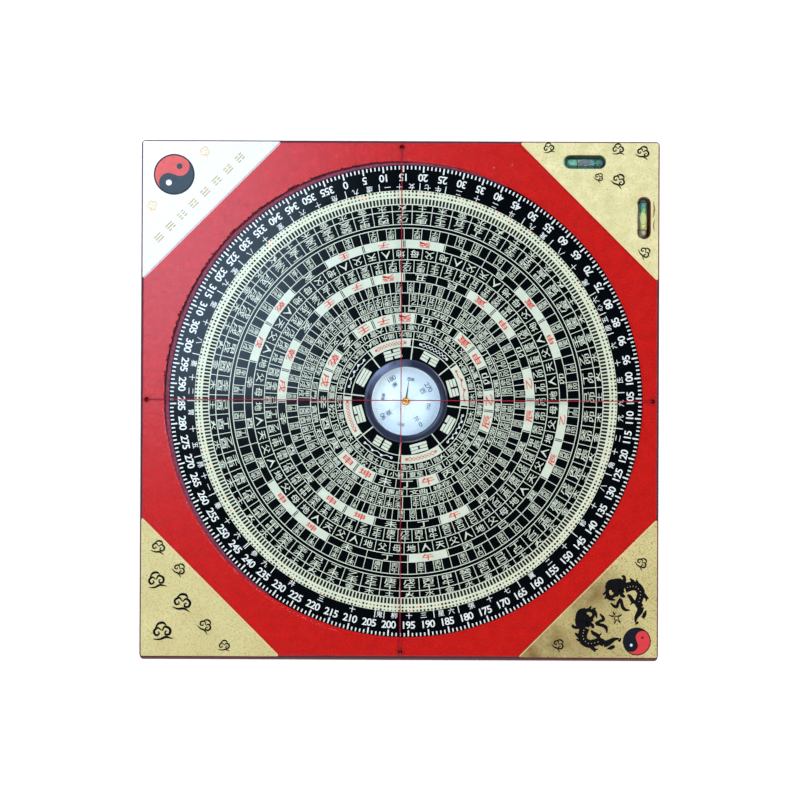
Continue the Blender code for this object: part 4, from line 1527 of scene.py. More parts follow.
    def print_directions(self) -> None:
        """Print the three rings of the twenty-four directions, pale cells with red marks among dark ones."""
        rings = (
            ("outer", 63.75 * MM, 67.0 * MM, 0.0, 4.6 * MM, 2.5 * MM),
            ("middle", 49.8 * MM, 53.3 * MM, -15.0, 4.8 * MM, 2.7 * MM),
            ("inner", 32.4 * MM, 36.5 * MM, -7.5, 5.2 * MM, 3.1 * MM),
        )
        for name, inner, outer, border, width, height in rings:
            pale, red = self.ink(), self.ink(raised=True)
            middle = (inner + outer) / 2
            margin = math.degrees((self.divider / 2 + self.cell_margin) / middle)
            for number, mark in enumerate(DIRECTIONS):
                start = border + DIRECTION_STEP * (number - 1)
                pale.spokes(start, inner, outer, self.divider)
                coloured = mark in RED_DIRECTIONS
                if coloured:
                    end = start + DIRECTION_STEP
                    pale.sectors(start + margin, end - margin, inner, outer, steps=6)
                ink = red if coloured else pale
                ink.text(mark, start + DIRECTION_STEP / 2, middle, width, height)
            pale.piece(f"dial_directions_{name}", CREAM)
            red.piece(f"dial_directions_{name}_red", RED_INK)

    def print_stars(self) -> None:
        """Print the innermost ring: chains of stars, red on pale cells and pale on dark ones."""
        inner, outer = self.lines[:2]
        middle = (inner + outer) / 2
        pale, dark, red = self.ink(), self.ink(), self.ink(raised=True)
        borders = TRIGRAM_STEP / 2 + TRIGRAM_STEP * np.arange(8)
        pale.spokes(borders, inner, outer, self.divider * self.star_line_share)
        starts = 2 * TRIGRAM_STEP * np.arange(4) - TRIGRAM_STEP / 2 + self.star_margin
        pale.sectors(starts, starts + TRIGRAM_STEP - 2 * self.star_margin, inner, outer, steps=16)
        for number, folds in enumerate(self.star_folds):
            target = red if number % 2 == 0 else dark
            degrees = TRIGRAM_STEP * number + np.linspace(-self.star_reach, self.star_reach, folds)
            swing = self.star_swing * (-1.0) ** np.arange(folds)
            swing[[0, -1]] = 0.0
            widths = np.full(folds, self.star_width)
            double = number in self.star_doubles
            for sign, layer in ((1, Layer.MARK), (-1, Layer.SPOKE))[:2 if double else 1]:
                points = target.spot(degrees, middle + sign * swing * (1.0 if double else self.star_single))
                target.parts.append(stroke(points, widths, target.low, target.top(layer), steps=1))
            knots = target.spot(degrees, middle + swing * self.star_single)[:: folds - 1 if double else 2]
            for point in knots:
                target.parts.append(ring_of(point, *self.star_radii, target.low, target.top(Layer.OVER), 12))
        pale.piece("dial_star_cells", CREAM)
        dark.piece("dial_star_chains", WHITE)
        red.piece("dial_star_chains_red", RED_INK)

    def print_trigrams(self) -> None:
        """Print the eight trigrams, each of three whole or broken bars, and the lines between them."""
        ink = self.ink()
        borders = TRIGRAM_STEP / 2 + TRIGRAM_STEP * np.arange(8)
        ink.spokes(borders, self.trigram_inner, self.lines[0], self.trigram_line)
        half, cleft = self.trigram_half, self.bar_gap / 2
        for number, bars in enumerate(TRIGRAMS):
            out, side = ink.way(TRIGRAM_STEP * number), ink.side(TRIGRAM_STEP * number)
            for row, whole in enumerate(bars):
                near = self.trigram_first + self.bar_pitch * row
                far = near + self.bar_width
                for start, end in ((-half, half),) if whole == "1" else ((-half, -cleft), (cleft, half)):
                    reach = np.array((near, near, far, far))[:, None]
                    along = np.array((start, end, end, start))[:, None]
                    corners = self.centre + out * reach + side * along
                    ink.parts.append(prisms(corners[None], ink.low, ink.top(Layer.MARK)))
        ink.piece("dial_trigrams", CREAM)


@dataclass
class Capsule:
    """The compass at the dial's middle: bezel, window, printed card, needle and its cap."""

    north: float = 147.0
    heading: float = math.radians(7.6)
    segments: int = 128
    window: float = 14.25 * MM
    step: float = 0.35 * MM
    crown_round: float = 1.1 * MM
    ring_radii: tuple[float, float] = (12.6 * MM, 13.6 * MM)
    ray_radii: tuple[float, float] = (2.4 * MM, 7.0 * MM)
    fine_line: float = 0.12 * MM
    ray_line: float = 0.14 * MM
    main_label: tuple[float, float] = (8.4 * MM, 2.3 * MM)
    side_label: tuple[float, float] = (9.6 * MM, 1.5 * MM)
    value_radius: float = 11.2 * MM
    value_size: tuple[float, float] = (1.35 * MM, 1.9 * MM)
    cap_shoulder: float = 0.45
    cap_crown: float = 0.92
    cap_base: float = 0.7
    cap_foot: float = 0.2 * MM
    cap_waist: float = 0.1 * MM

    def __post_init__(self) -> None:
        """Take the capsule's place from the frame."""
        low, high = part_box("compass_bezel")
        self.centre = middle_of((low, high))
        self.bezel_outer = (high.x - low.x) / 2
        self.bezel_low, self.bezel_top = low.z, high.z
        self.card_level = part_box("compass_card")[1].z

    def build(self) -> None:
        """Dress the capsule's nodes and add the finer pieces."""
        dress("compass_case", CASE)
        dress("compass_card", CARD)
        dress("compass_pivot", BRASS)
        dress("compass_glass", WINDOW)
        self.build_bezel()
        self.print_card()
        self.build_needle()

    def build_bezel(self) -> None:
        """Turn the bezel: a rounded ring with a small step at the window."""
        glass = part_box("compass_glass")[1].z
        outer, top, lip = self.bezel_outer, self.bezel_top, self.bezel_low
        window, step = self.window, self.step
        fillet = np.linspace(0, math.pi / 2, 7)
        reach = outer - self.crown_round + self.crown_round * np.cos(fillet)
        height = lip + (top - lip) * (0.1 + 0.9 * np.sin(fillet))
        inside = (
            (window + step + 0.15 * MM, top),
            (window + step, top - 0.08 * MM),
            (window + 0.08 * MM, glass + 0.18 * MM),
            (window, glass + 0.1 * MM),
            (window, lip),
        )
        profile = np.concatenate([[(outer, lip)], np.stack([reach, height], axis=1), inside])
        ring = turned(profile, (*self.centre, 0.0), self.segments)
        piece = add_piece("bezel_ring", ring, BEZEL, Carrier.DIAL, smooth=40)
        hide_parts("compass_bezel")

    def print_card(self) -> None:
        """Print the card: a faint degree ring, thin rays and labels at the eight directions."""
        faint = RoundPrint(self.centre, self.card_level, self.north)
        for radius in self.ring_radii:
            faint.circle(radius, self.fine_line, 96)
        faint.spokes(np.arange(0, 360, 5), *self.ring_radii, self.fine_line)
        faint.spokes(np.arange(0, 360, 45), *self.ray_radii, self.ray_line)
        faint.piece("card_degree_ring", CARD_FAINT, "card_white")
        ink = RoundPrint(self.centre, self.card_level, self.north, lift=0.03 * MM)
        for degree, name in zip(range(0, 360, 45), "北 東北 東 東南 南 西南 西 西北".split()):
            main = len(name) == 1
            radius, size = self.main_label if main else self.side_label
            ink.text(name, degree, radius, size, size, heads_out=True)
            if main:
                ink.text(str(degree), degree, self.value_radius, *self.value_size, heads_out=True)
        ink.piece("card_labels", CARD_INK, "card_white")

    def build_needle(self) -> None:
        """Colour the needle's halves and turn a finer cap for it."""
        steel = Halved(
            "needle_steel", shown(38, 44, 66), shown(196, 206, 216), roughness=0.35, metallic=0.3,
            pivot=tuple(self.centre.tolist()), heading=self.heading,
        )
        dress("needle", steel)
        low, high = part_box("needle_cap")
        radius = (high.x - low.x) / 2
        bend = np.linspace(0, math.pi / 2, 8)
        shoulder = low.z + (high.z - low.z) * self.cap_shoulder
        reach = radius * self.cap_crown * np.cos(bend)
        dome = np.stack([reach, shoulder + (high.z - shoulder) * np.sin(bend)], axis=1)
        foot, waist = low.z + self.cap_foot, shoulder - self.cap_waist
        rim = ((0.0, low.z), (radius * self.cap_base, low.z), (radius, foot), (radius, waist))
        dome[-1, 0] = 0.0
        body = turned(np.concatenate([rim, dome]), (*self.centre, 0.0), 48)
        cap = add_piece(
            "needle_cap_turned", body, BRASS, Carrier.MAGNET, smooth=35, weld=0.001 * MM
        )
        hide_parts("needle_cap")


def spun(angle: float) -> Array:
    """Give the matrix that turns rows by an angle in radians, from the first axis to the second."""
    return np.array(((math.cos(angle), math.sin(angle)), (-math.sin(angle), math.cos(angle))))


@dataclass
class Emblem:
    """The round two-tone sign: two curled halves, each with a dot of the other's colour."""

    name: str
    centre: Array
    radius: float
    lean: float
    first: Finish
    second: Finish
    first_dot: Finish
    second_dot: Finish
    hand: int = 1
    dot: float = 0.15
    line: tuple[float, float] = (0.97, 1.04)
    thick: float = 0.03 * MM
    slot: str = "gold_foil"

    def build(self, level: float) -> None:
        """Lay the halves, the dots and the outline on the plate.

        A half is cut into slices along the sign's own long axis. At height y in the circle it runs
        from the circle's edge to a border that swings out by the circle over each half radius.

        Args:
            level: The plate's top.
        """
        low, high = level - SUNK, level + self.thick
        rise = np.sin(np.linspace(-math.pi / 2, math.pi / 2, 49))[:, None] * self.radius
        edge = np.sqrt(np.maximum(self.radius ** 2 - rise ** 2, 0))
        half = self.radius / 2
        swing = np.sqrt(np.maximum(half ** 2 - (np.abs(rise) - half) ** 2, 0)) * np.sign(rise) * self.hand
        share = np.linspace(0, 1, 5)[None]
        turn = spun(self.lean)
        for side, finish in ((-1, self.first), (1, self.second)):
            across = side * edge + (swing - side * edge) * share
            grid = np.stack([across, np.broadcast_to(rise, across.shape)], axis=2) @ turn + self.centre
            name = f"{self.name}_{'left' if side < 0 else 'right'}_half"
            add_piece(name, slab(grid, low, high), finish, Carrier.BOARD, weld=0.002 * MM)
        dots = np.array([(0, -half * self.hand), (0, half * self.hand)]) @ turn + self.centre
        for number, finish in enumerate((self.second_dot, self.first_dot)):
            dot = discs(dots[number:number + 1], self.radius * self.dot, low, high + 0.02 * MM, 24)
            add_piece(f"{self.name}_dot_{number + 1}", dot, finish, Carrier.BOARD)
        inner, outer = (self.radius * share for share in self.line)
        line = ring_of(self.centre, inner, outer, low, high + 0.01 * MM, 96)
        add_piece(f"{self.name}_outline", line, INK, Carrier.BOARD)


@dataclass
class FlatPrint:
    """Collects flat ink on a level face, drawn in the photograph's pixels."""

    level: float
    sunk: float = 0.01 * MM
    first: float = 0.02 * MM
    step: float = 0.01 * MM
    turns: int = 9
    parts: list[Patch] = field(default_factory=list)

    @property
    def low(self) -> float:
        """The level from which the ink rises."""
        return self.level - self.sunk

    def top(self) -> float:
        """Give the next shape's own level, so that crossing shapes never share one."""
        return self.level + self.first + self.step * (len(self.parts) % self.turns)

    def stroke(self, pixels: Array | Pairs, widths: Array | Sequence[float]) -> None:
        """Draw a brush stroke through these pixels, with its widths in pixels."""
        wide = PHOTO.length(np.asarray(widths, float))
        self.parts.append(stroke(PHOTO.places(pixels), wide, self.low, self.top(), 4))

    def spots(self, pixels: Array, radius: float, corners: int = 8) -> None:
        """Lay round spots on these pixels, with their radius in pixels."""
        self.parts.append(discs(PHOTO.places(pixels), PHOTO.length(radius), self.low, self.top(), corners))

    def circle(self, pixel: tuple[float, float], radius: float, width: float) -> None:
        """Draw a round line, with its radius and width in pixels."""
        inner, outer = (PHOTO.length(reach) for reach in (radius - width / 2, radius + width / 2))
        self.parts.append(ring_of(PHOTO.places(pixel), inner, outer, self.low, self.top(), 32))

    def bar(self, pixel: Array, azimuth: float, length: float, width: float) -> None:
        """Lay a straight bar on a pixel, square to the azimuth, with its sizes in pixels."""
        out = np.array((math.sin(azimuth), math.cos(azimuth))) * PHOTO.length(width) / 2
        side = np.array((math.cos(azimuth), -math.sin(azimuth))) * PHOTO.length(length) / 2
        middle = PHOTO.places(pixel)
        corners = [middle - side - out, middle + side - out, middle + side + out, middle - side + out]
        self.parts.append(prisms(np.array([corners]), self.low, self.top()))

    def piece(self, name: str, finish: Finish, slot: str) -> bpy.types.Object:
        """Make the collected ink a piece that rides on the board."""
        return add_piece(name, Patch.joined(self.parts), finish, Carrier.BOARD)


@dataclass(frozen=True)
class Drawing:
    """A figure drawn as brush strokes on its own grid, each with its places and widths."""

    strokes: tuple[tuple[Pairs, Sequence[float]], ...]
    scale: float = 1.0
    weight: float = 1.0
    origin: tuple[float, float] = (0.0, 0.0)

    def pixels(self, places: Pairs, mirror: float | None = None) -> Array:
        """Turn places on the grid into pixels, or into their mirror image about the plate's slope.

        A place is divided by the scale and added to the origin. The mirror image swaps across and
        down and moves both by the given offset.

        Args:
            places: The places on the grid.
            mirror: The offset of the mirror image in pixels.

        Returns:
            The pixels, as rows.
        """
        pixels = np.array(self.origin) + np.array(places, float) / self.scale
        return pixels if mirror is None else pixels[:, ::-1] + np.array((-mirror, mirror))

    def draw(self, ink: FlatPrint, mirror: float | None = None) -> None:
        """Draw the figure or its mirror image."""
        for places, widths in self.strokes:
            ink.stroke(self.pixels(places, mirror), np.array(widths) * self.weight / self.scale)


MIRROR = 2.36
DRAGON = Drawing(
    (
        (((1050, 280), (1180, 240), (1290, 260), (1350, 360), (1330, 460), (1300, 560), (1350, 640)),
         (104, 96, 92, 86, 80, 76, 70)),
        (((1346, 630), (1335, 700), (1300, 760), (1260, 830), (1250, 920)), (74, 66, 54, 38, 14)),
        (((700, 300), (780, 235), (870, 235), (960, 215), (1060, 260)), (34, 120, 150, 130, 90)),
        (((1020, 190), (1045, 120), (1030, 60), (990, 62)), (46, 36, 28, 20)),
        (((735, 290), (722, 350), (750, 420), (810, 440), (866, 405), (880, 330)), (44, 40, 36, 34, 38, 46)),
        (((735, 330), (690, 370), (640, 400)), (38, 28, 12)),
        (((745, 400), (705, 440), (680, 485)), (36, 26, 12)),
        (((690, 440), (780, 482), (870, 500)), (16, 30, 16)),
        (((790, 560), (850, 612), (900, 625), (925, 560), (975, 470)), (16, 30, 34, 32, 26)),
        (((980, 490), (1008, 620), (1060, 680), (1145, 690)), (30, 38, 32, 12)),
        (((1100, 400), (1150, 440), (1200, 520), (1285, 562)), (20, 38, 44, 24)),
        (((1200, 520), (1180, 560), (1150, 590)), (24, 18, 8)),
        (((1372, 372), (1450, 450), (1495, 472)), (50, 34, 12)),
        (((1440, 440), (1452, 492), (1440, 530)), (26, 18, 8)),
        (((1145, 96), (1185, 140), (1222, 190)), (12, 34, 48)),
        (((1262, 120), (1280, 165), (1290, 215)), (10, 26, 36)),
        (((1442, 700), (1418, 770), (1388, 835)), (14, 40, 30)),
        (((1300, 905), (1275, 935), (1235, 950)), (24, 22, 8)),
        (((760, 200), (790, 160), (840, 150)), (30, 34, 10)),
        (((850, 190), (890, 140), (950, 130)), (30, 36, 10)),
        (((930, 330), (985, 350), (1040, 330)), (36, 44, 30)),
        (((880, 330), (915, 385), (905, 440)), (40, 40, 14)),
        (((960, 360), (1010, 420), (1060, 440)), (34, 40, 18)),
    ),
    scale=18.667,
    weight=1.75,
    origin=(568.0, 572.0),
)
PEARL = replace(
    DRAGON,
    weight=1.5,
    strokes=(
        (((850, 800), (800, 800), (760, 772)), (24, 18, 6)),
        (((866, 780), (846, 745), (832, 708)), (24, 18, 6)),
        (((930, 800), (970, 790), (1002, 756)), (24, 18, 6)),
        (((935, 878), (958, 905), (972, 938)), (24, 18, 6)),
        (((880, 895), (868, 920), (858, 948)), (24, 18, 6)),
    ),
)
PEARL_MIDDLE = (616.0, 617.0)
SCALES = (
    (1100, 262), (1150, 250), (1205, 243), (1258, 256), (1304, 292), (1338, 345), (1344, 405), (1330, 465),
    (1312, 525),
)
CLOUD = Drawing(
    (
        (((-0.02, -0.06), (-0.2, -0.2), (-0.4, -0.04), (-0.32, 0.16), (-0.15, 0.1), (-0.2, -0.02)),
         (0.05, 0.1, 0.12, 0.11, 0.08, 0.05)),
        (((0.0, -0.02), (0.16, -0.22), (0.4, -0.08), (0.36, 0.16), (0.16, 0.18), (0.16, 0.02), (0.26, 0.0)),
         (0.05, 0.11, 0.13, 0.12, 0.1, 0.07, 0.04)),
        (((-0.32, -0.2), (-0.14, -0.4), (0.1, -0.42), (0.24, -0.28)), (0.05, 0.12, 0.12, 0.05)),
        (((-0.48, 0.34), (-0.15, 0.38), (0.16, 0.3), (0.5, 0.42)), (0.03, 0.1, 0.12, 0.03)),
    )
)


def ink_cloud(ink: FlatPrint, pixel: tuple[float, float], size: float, turn: float) -> None:
    """Draw a small curled cloud, turned by an angle.

    Args:
        ink: The print to draw in.
        pixel: Its middle in the photograph.
        size: Its width in pixels.
        turn: The angle in degrees, clockwise in the picture.
    """
    spin = spun(math.radians(turn))
    for places, widths in CLOUD.strokes:
        ink.stroke(np.array(places) @ spin * size + np.array(pixel), np.array(widths) * size)


@dataclass
class CornerPlates:
    """The four gold plates and what is printed on them."""

    edge_width: float = 0.32 * MM
    edge_wobble: float = 0.02 * MM
    edge_start: float = 0.03 * MM
    edge_thick: float = 0.02 * MM
    edge_ends: tuple[float, float] = (0.7 * MM, 0.35 * MM)
    edge_points: int = 60
    leg: float = 57.8 * MM
    trigram_row: tuple[tuple[float, float], tuple[float, float]] = ((239.0, 159.0), (159.0, 239.0))
    trigram_azimuth: float = math.radians(135)
    bar_pitch: float = 2.7
    half_bar_off: float = 2.6
    bar_length: float = 8.8
    half_bar_length: float = 3.6
    bar_width: float = 1.3

    def __post_init__(self) -> None:
        """Take the plates' level and outer edge from the frame."""
        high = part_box("corner_plate_se")[1]
        self.level, self.half = high.z, high.x

    def build(self) -> None:
        """Dress the plates and print on them."""
        # The north-east plate's foil carries a painted sheen and the north-west plate's a painted glare.
        for corner, finish in (("ne", GOLD_SHEEN), ("nw", GOLD_GLARE), ("sw", GOLD), ("se", GOLD_BROWN)):
            dress(f"corner_plate_{corner}", finish)
        self.line_edges()
        self.print_north_west()
        self.print_north_east()
        self.print_south_west()
        self.print_south_east()

    def line_edges(self) -> None:
        """Run a light line along the sloping edge of each plate: a painted highlight where the bevelled edge
        catches the light, painted grey as shade on the north-west plate.
        """
        near, far = self.half - self.leg + self.edge_ends[0], self.half - self.edge_ends[1]
        share = np.linspace(0, 1, self.edge_points)[:, None]
        for name, right, back in (("ne", 1, 1), ("nw", -1, 1), ("sw", -1, -1), ("se", 1, -1)):
            # The same bevelled edge is painted grey as shade on the north-west plate and pale as a highlight
            # on the others.
            finish = EDGE_SHADE if name == "nw" else EDGE_HIGHLIGHT
            random = np.random.default_rng(11 + right + 2 * back)
            wobble = random.normal(0, self.edge_wobble, share.shape)
            first, last = np.array((right * near, back * far)), np.array((right * far, back * near))
            line = first + (last - first) * share
            inward = np.array((right, back)) / math.sqrt(2)
            start = line + inward * self.edge_start
            end = line + inward * (self.edge_width + wobble)
            patch = bands(start, end, self.level - SUNK, self.level + self.edge_thick)
            add_piece(f"plate_edge_{name}", patch, finish, Carrier.BOARD)

    def print_north_west(self) -> None:
        """Print the large round sign, a row of eight faint trigrams along the slope and two clouds."""
        Emblem(
            "emblem_nw", PHOTO.places((173.8, 176.0)), PHOTO.length(19.6), math.radians(-33),
            RED_INK_PALE, SLATE_INK, SLATE_INK, WHITE,
        ).build(self.level)
        ink = FlatPrint(self.level)
        azimuth = self.trigram_azimuth
        out = np.array((math.sin(azimuth), -math.cos(azimuth)))
        side = np.array((math.cos(azimuth), math.sin(azimuth)))
        first, last = np.array(self.trigram_row)
        for number, bars in enumerate(TRIGRAMS):
            place = first + (last - first) * number / (len(TRIGRAMS) - 1)
            for row, whole in enumerate(bars):
                for part in (0,) if whole == "1" else (-1, 1):
                    middle = place + self.bar_pitch * (row - 1) * out + self.half_bar_off * part * side
                    length = self.half_bar_length if part else self.bar_length
                    ink.bar(middle, azimuth, length, self.bar_width)
        ink.piece("plate_nw_trigrams", GOLD_INK, "gold_foil")
        cloud = FlatPrint(self.level)
        ink_cloud(cloud, (204.0, 153.0), 11.0, 20)
        ink_cloud(cloud, (152.0, 207.0), 11.0, 60)
        cloud.piece("plate_nw_clouds", ORANGE_INK, "gold_foil")

    def print_north_east(self) -> None:
        """Print six small ink clouds round the vials and the brown stains beside the upright one."""
        ink = FlatPrint(self.level)
        for pixel, size, turn in (
            ((616, 149), 12.5, 0), ((641, 152), 13.5, 20), ((547, 148), 11.5, -8),
            ((617, 180), 14.0, 35), ((597, 177), 9.5, 40), ((643, 252), 12.0, 60),
        ):
            ink_cloud(ink, pixel, size, turn)
        ink.piece("plate_ne_clouds", PLATE_INK, "gold_foil")
        stain = FlatPrint(self.level)
        stain.stroke([(651.5, 201), (652.3, 209), (651.2, 217)], (0.4, 1.5, 0.5))
        stain.stroke([(652.6, 219), (651.6, 225), (652.4, 231)], (0.4, 1.2, 0.4))
        stain.piece("plate_ne_stain", STAIN, "gold_foil")

    def print_south_west(self) -> None:
        """Print seven ink clouds of different sizes."""
        ink = FlatPrint(self.level)
        for pixel, size, turn in (
            ((160, 548), 14.5, 15), ((181, 570), 13.0, 40), ((158, 581), 18.0, -10), ((184, 603), 19.0, 12),
            ((207, 626), 14.0, 38), ((164, 632), 20.0, -6), ((226, 646), 12.0, 5),
        ):
            ink_cloud(ink, pixel, size, turn)
        ink.piece("plate_sw_clouds", PLATE_INK, "gold_foil")

    def print_south_east(self) -> None:
        """Print the smaller round sign, two dragons at a flaming pearl and a small cloud at each end."""
        Emblem(
            "emblem_se", PHOTO.places((636.4, 640.0)), PHOTO.length(13.4), math.radians(-56),
            NAVY_INK, ROSE_INK, WHITE, RED_INK_DARK, hand=-1, dot=0.105,
        ).build(self.level)
        ink = FlatPrint(self.level)
        DRAGON.draw(ink)
        DRAGON.draw(ink, MIRROR)
        PEARL.draw(ink)
        ink.circle(PEARL_MIDDLE, 2.1, 0.9)
        ink_cloud(ink, (641.0, 562.0), 12.0, 50)
        ink_cloud(ink, (558.5, 643.5), 12.0, 40)
        ink.piece("plate_se_dragons", PLATE_INK, "gold_foil")
        pale = FlatPrint(self.level, first=0.13 * MM)
        for mirror in (None, MIRROR):
            pale.spots(DRAGON.pixels(SCALES, mirror), 0.42)
        pale.spots(np.array([PEARL_MIDDLE]), 0.8)
        pale.piece("plate_se_scales", GOLD, "gold_foil")


@dataclass
class Threads:
    """The two crossed sighting threads and the knots that hold them below."""

    ply_radius: float = 0.135 * MM
    ply_reach: float = 0.112 * MM
    lay: float = 1.5 * MM
    steps_per_turn: int = 8
    sides: int = 6
    bend: float = 1.1 * MM
    tail: float = 0.5 * MM
    lobe_reach: float = 0.74 * MM
    lobe_swing: float = 0.2 * MM
    lobe_rise: float = 0.82 * MM
    knot_radius: float = 0.23 * MM
    knot_steps: int = 96
    knot_sides: int = 8
    knot_across: tuple[float, float, float] = (0.03, 0.02, 1.0)
    turn_points: int = 10
    rise_points: int = 14
    span_points: int = 120

    def __post_init__(self) -> None:
        """Take the thread's radius and the level of its span from the lower thread."""
        low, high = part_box("thread_x")
        self.radius = (high.y - low.y) / 2
        self.over = high.z - self.radius

    def build(self) -> None:
        """Twist both threads and tie their four knots."""
        self.build_thread("thread_x", np.array((1.0, 0.0, 0.0)))
        self.build_thread("thread_y", np.array((0.0, 1.0, 0.0)))
        for side in ("left", "right", "back", "front"):
            self.build_knot(side)

    def route(self, node: str, along: Array) -> Array:
        """Give the thread's middle line: up through one hole, over the board and down the other.

        The line is a rise, a quarter circle, a span that climbs to its middle by what the frame's
        thread is higher there, and the same back.

        Args:
            node: The thread's node.
            along: The direction of its span.

        Returns:
            The points of the line, as rows.
        """
        low, high = corners_of(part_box(node))
        reach = (high - low) @ along / 2 - self.radius
        middle = (low + high) / 2
        middle[2] = 0.0
        peak = float(high[2]) - self.radius - self.over
        turn = np.linspace(0, math.pi / 2, self.turn_points)
        rise = np.linspace(self.tail, self.over - self.bend, self.rise_points)[:-1]
        curve = reach - self.bend * (1 - np.cos(turn))
        span = np.linspace(curve[-1], 0.0, self.span_points)[1:]
        out = np.concatenate([np.full(len(rise), reach), curve, span])
        climb = self.over + peak * (1 - span / curve[-1])
        height = np.concatenate([rise, self.over - self.bend + self.bend * np.sin(turn), climb])
        out = np.concatenate([out, -out[-2::-1]])
        height = np.concatenate([height, height[-2::-1]])
        return middle + out[:, None] * along + height[:, None] * np.array((0.0, 0.0, 1.0))

    def build_thread(self, node: str, along: Array) -> None:
        """Twist two plies round the thread's middle line in place of the plain thread.

        A ply lies off the line by its reach, in a direction that turns once round in each lay.

        Args:
            node: The thread's node.
            along: The direction of its span.
        """
        route = self.route(node, along)
        travelled = np.concatenate([[0.0], np.cumsum(np.linalg.norm(np.diff(route, axis=0), axis=1))])
        steps = int(travelled[-1] / self.lay * self.steps_per_turn)
        place = np.linspace(0, travelled[-1], steps)
        line = np.stack([np.interp(place, travelled, route[:, axis]) for axis in range(3)], axis=1)
        side = np.cross(along, (0.0, 0.0, 1.0))
        ahead = np.gradient(line, axis=0)
        ahead /= np.linalg.norm(ahead, axis=1, keepdims=True)
        lift = np.cross(ahead, side)
        angle = place / self.lay * FULL
        plies = []
        for start in (0.0, math.pi):
            turn = (angle + start)[:, None]
            ply = line + self.ply_reach * (np.cos(turn) * side + np.sin(turn) * lift)
            plies.append(tube(ply, self.ply_radius, self.sides, side))
        patch = Patch.joined(plies)
        piece = add_piece(f"twisted_{node}", patch, THREAD, Carrier.BOARD, smooth=60)
        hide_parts(node)

    def build_knot(self, side: str) -> None:
        """Tie a three-lobed knot in place of the plain one.

        Along the knot the angle goes round twice while the reach and the height swing three times.

        Args:
            side: Which of the four knots.
        """
        node = f"thread_knot_{side}"
        low, high = corners_of(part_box(node))
        middle = (low + high) / 2
        turn = np.arange(self.knot_steps + 1) / self.knot_steps * FULL
        reach, rise = self.lobe_reach + self.lobe_swing * np.cos(3 * turn), self.lobe_rise * np.sin(3 * turn)
        path = np.stack([reach * np.cos(2 * turn), reach * np.sin(2 * turn), rise], axis=1)
        patch = tube(middle + path, self.knot_radius, self.knot_sides, np.array(self.knot_across))
        piece = add_piece(f"tied_knot_{side}", patch, THREAD, Carrier.BOARD, smooth=60)
        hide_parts(node)


def stops(*rows: tuple[float, int, int, int]) -> Stops:
    """Make the stops of a colour band from rows of a share and a colour as a screen shows it."""
    return tuple((share, shown(*colour)) for share, *colour in rows)


@dataclass(frozen=True)
class VialPlan:
    """What differs between the two vials: their axis, pocket, ring lines and the colours along them."""

    name: str
    axis: Axis
    centre: tuple[float, float]
    rings: tuple[float, float]
    stops: Stops
    bed: Stops
    air: Finish

    @property
    def along(self) -> int:
        """The part of a place that runs along the vial."""
        return self.axis.value - 1


# The liquid stops run each liquid's colour along its tube, darker towards its ends as painted shade. The bed
# stops run the putty from a brightened colour, painted light for the dim gap, to dark at the pocket's far
# wall, painted shade.
VIAL_PLANS = (
    VialPlan(
        "x", Axis.ACROSS, (76.366 * MM, 99.0 * MM), (575.4, 593.0),
        stops((0.0, 62, 96, 74), (0.12, 66, 134, 116), (0.3, 72, 140, 122), (0.5, 112, 134, 118),
              (0.72, 84, 128, 112), (0.86, 48, 126, 134), (1.0, 30, 60, 62)),
        stops((0.0, 130, 226, 206), (0.6, 118, 208, 190), (0.88, 84, 140, 112), (1.0, 52, 56, 40)),
        AIR,
    ),
    VialPlan(
        "y", Axis.ALONG, (101.0 * MM, 75.788 * MM), (201.5, 229.4),
        stops((0.0, 120, 112, 96), (0.2, 156, 150, 118), (0.38, 176, 168, 92), (0.6, 164, 170, 124),
              (0.74, 96, 138, 104), (0.88, 56, 124, 96), (1.0, 40, 64, 52)),
        stops((0.0, 232, 240, 210), (0.5, 222, 222, 176), (0.82, 150, 86, 50), (1.0, 96, 22, 18)),
        AIR_PALE,
    ),
)


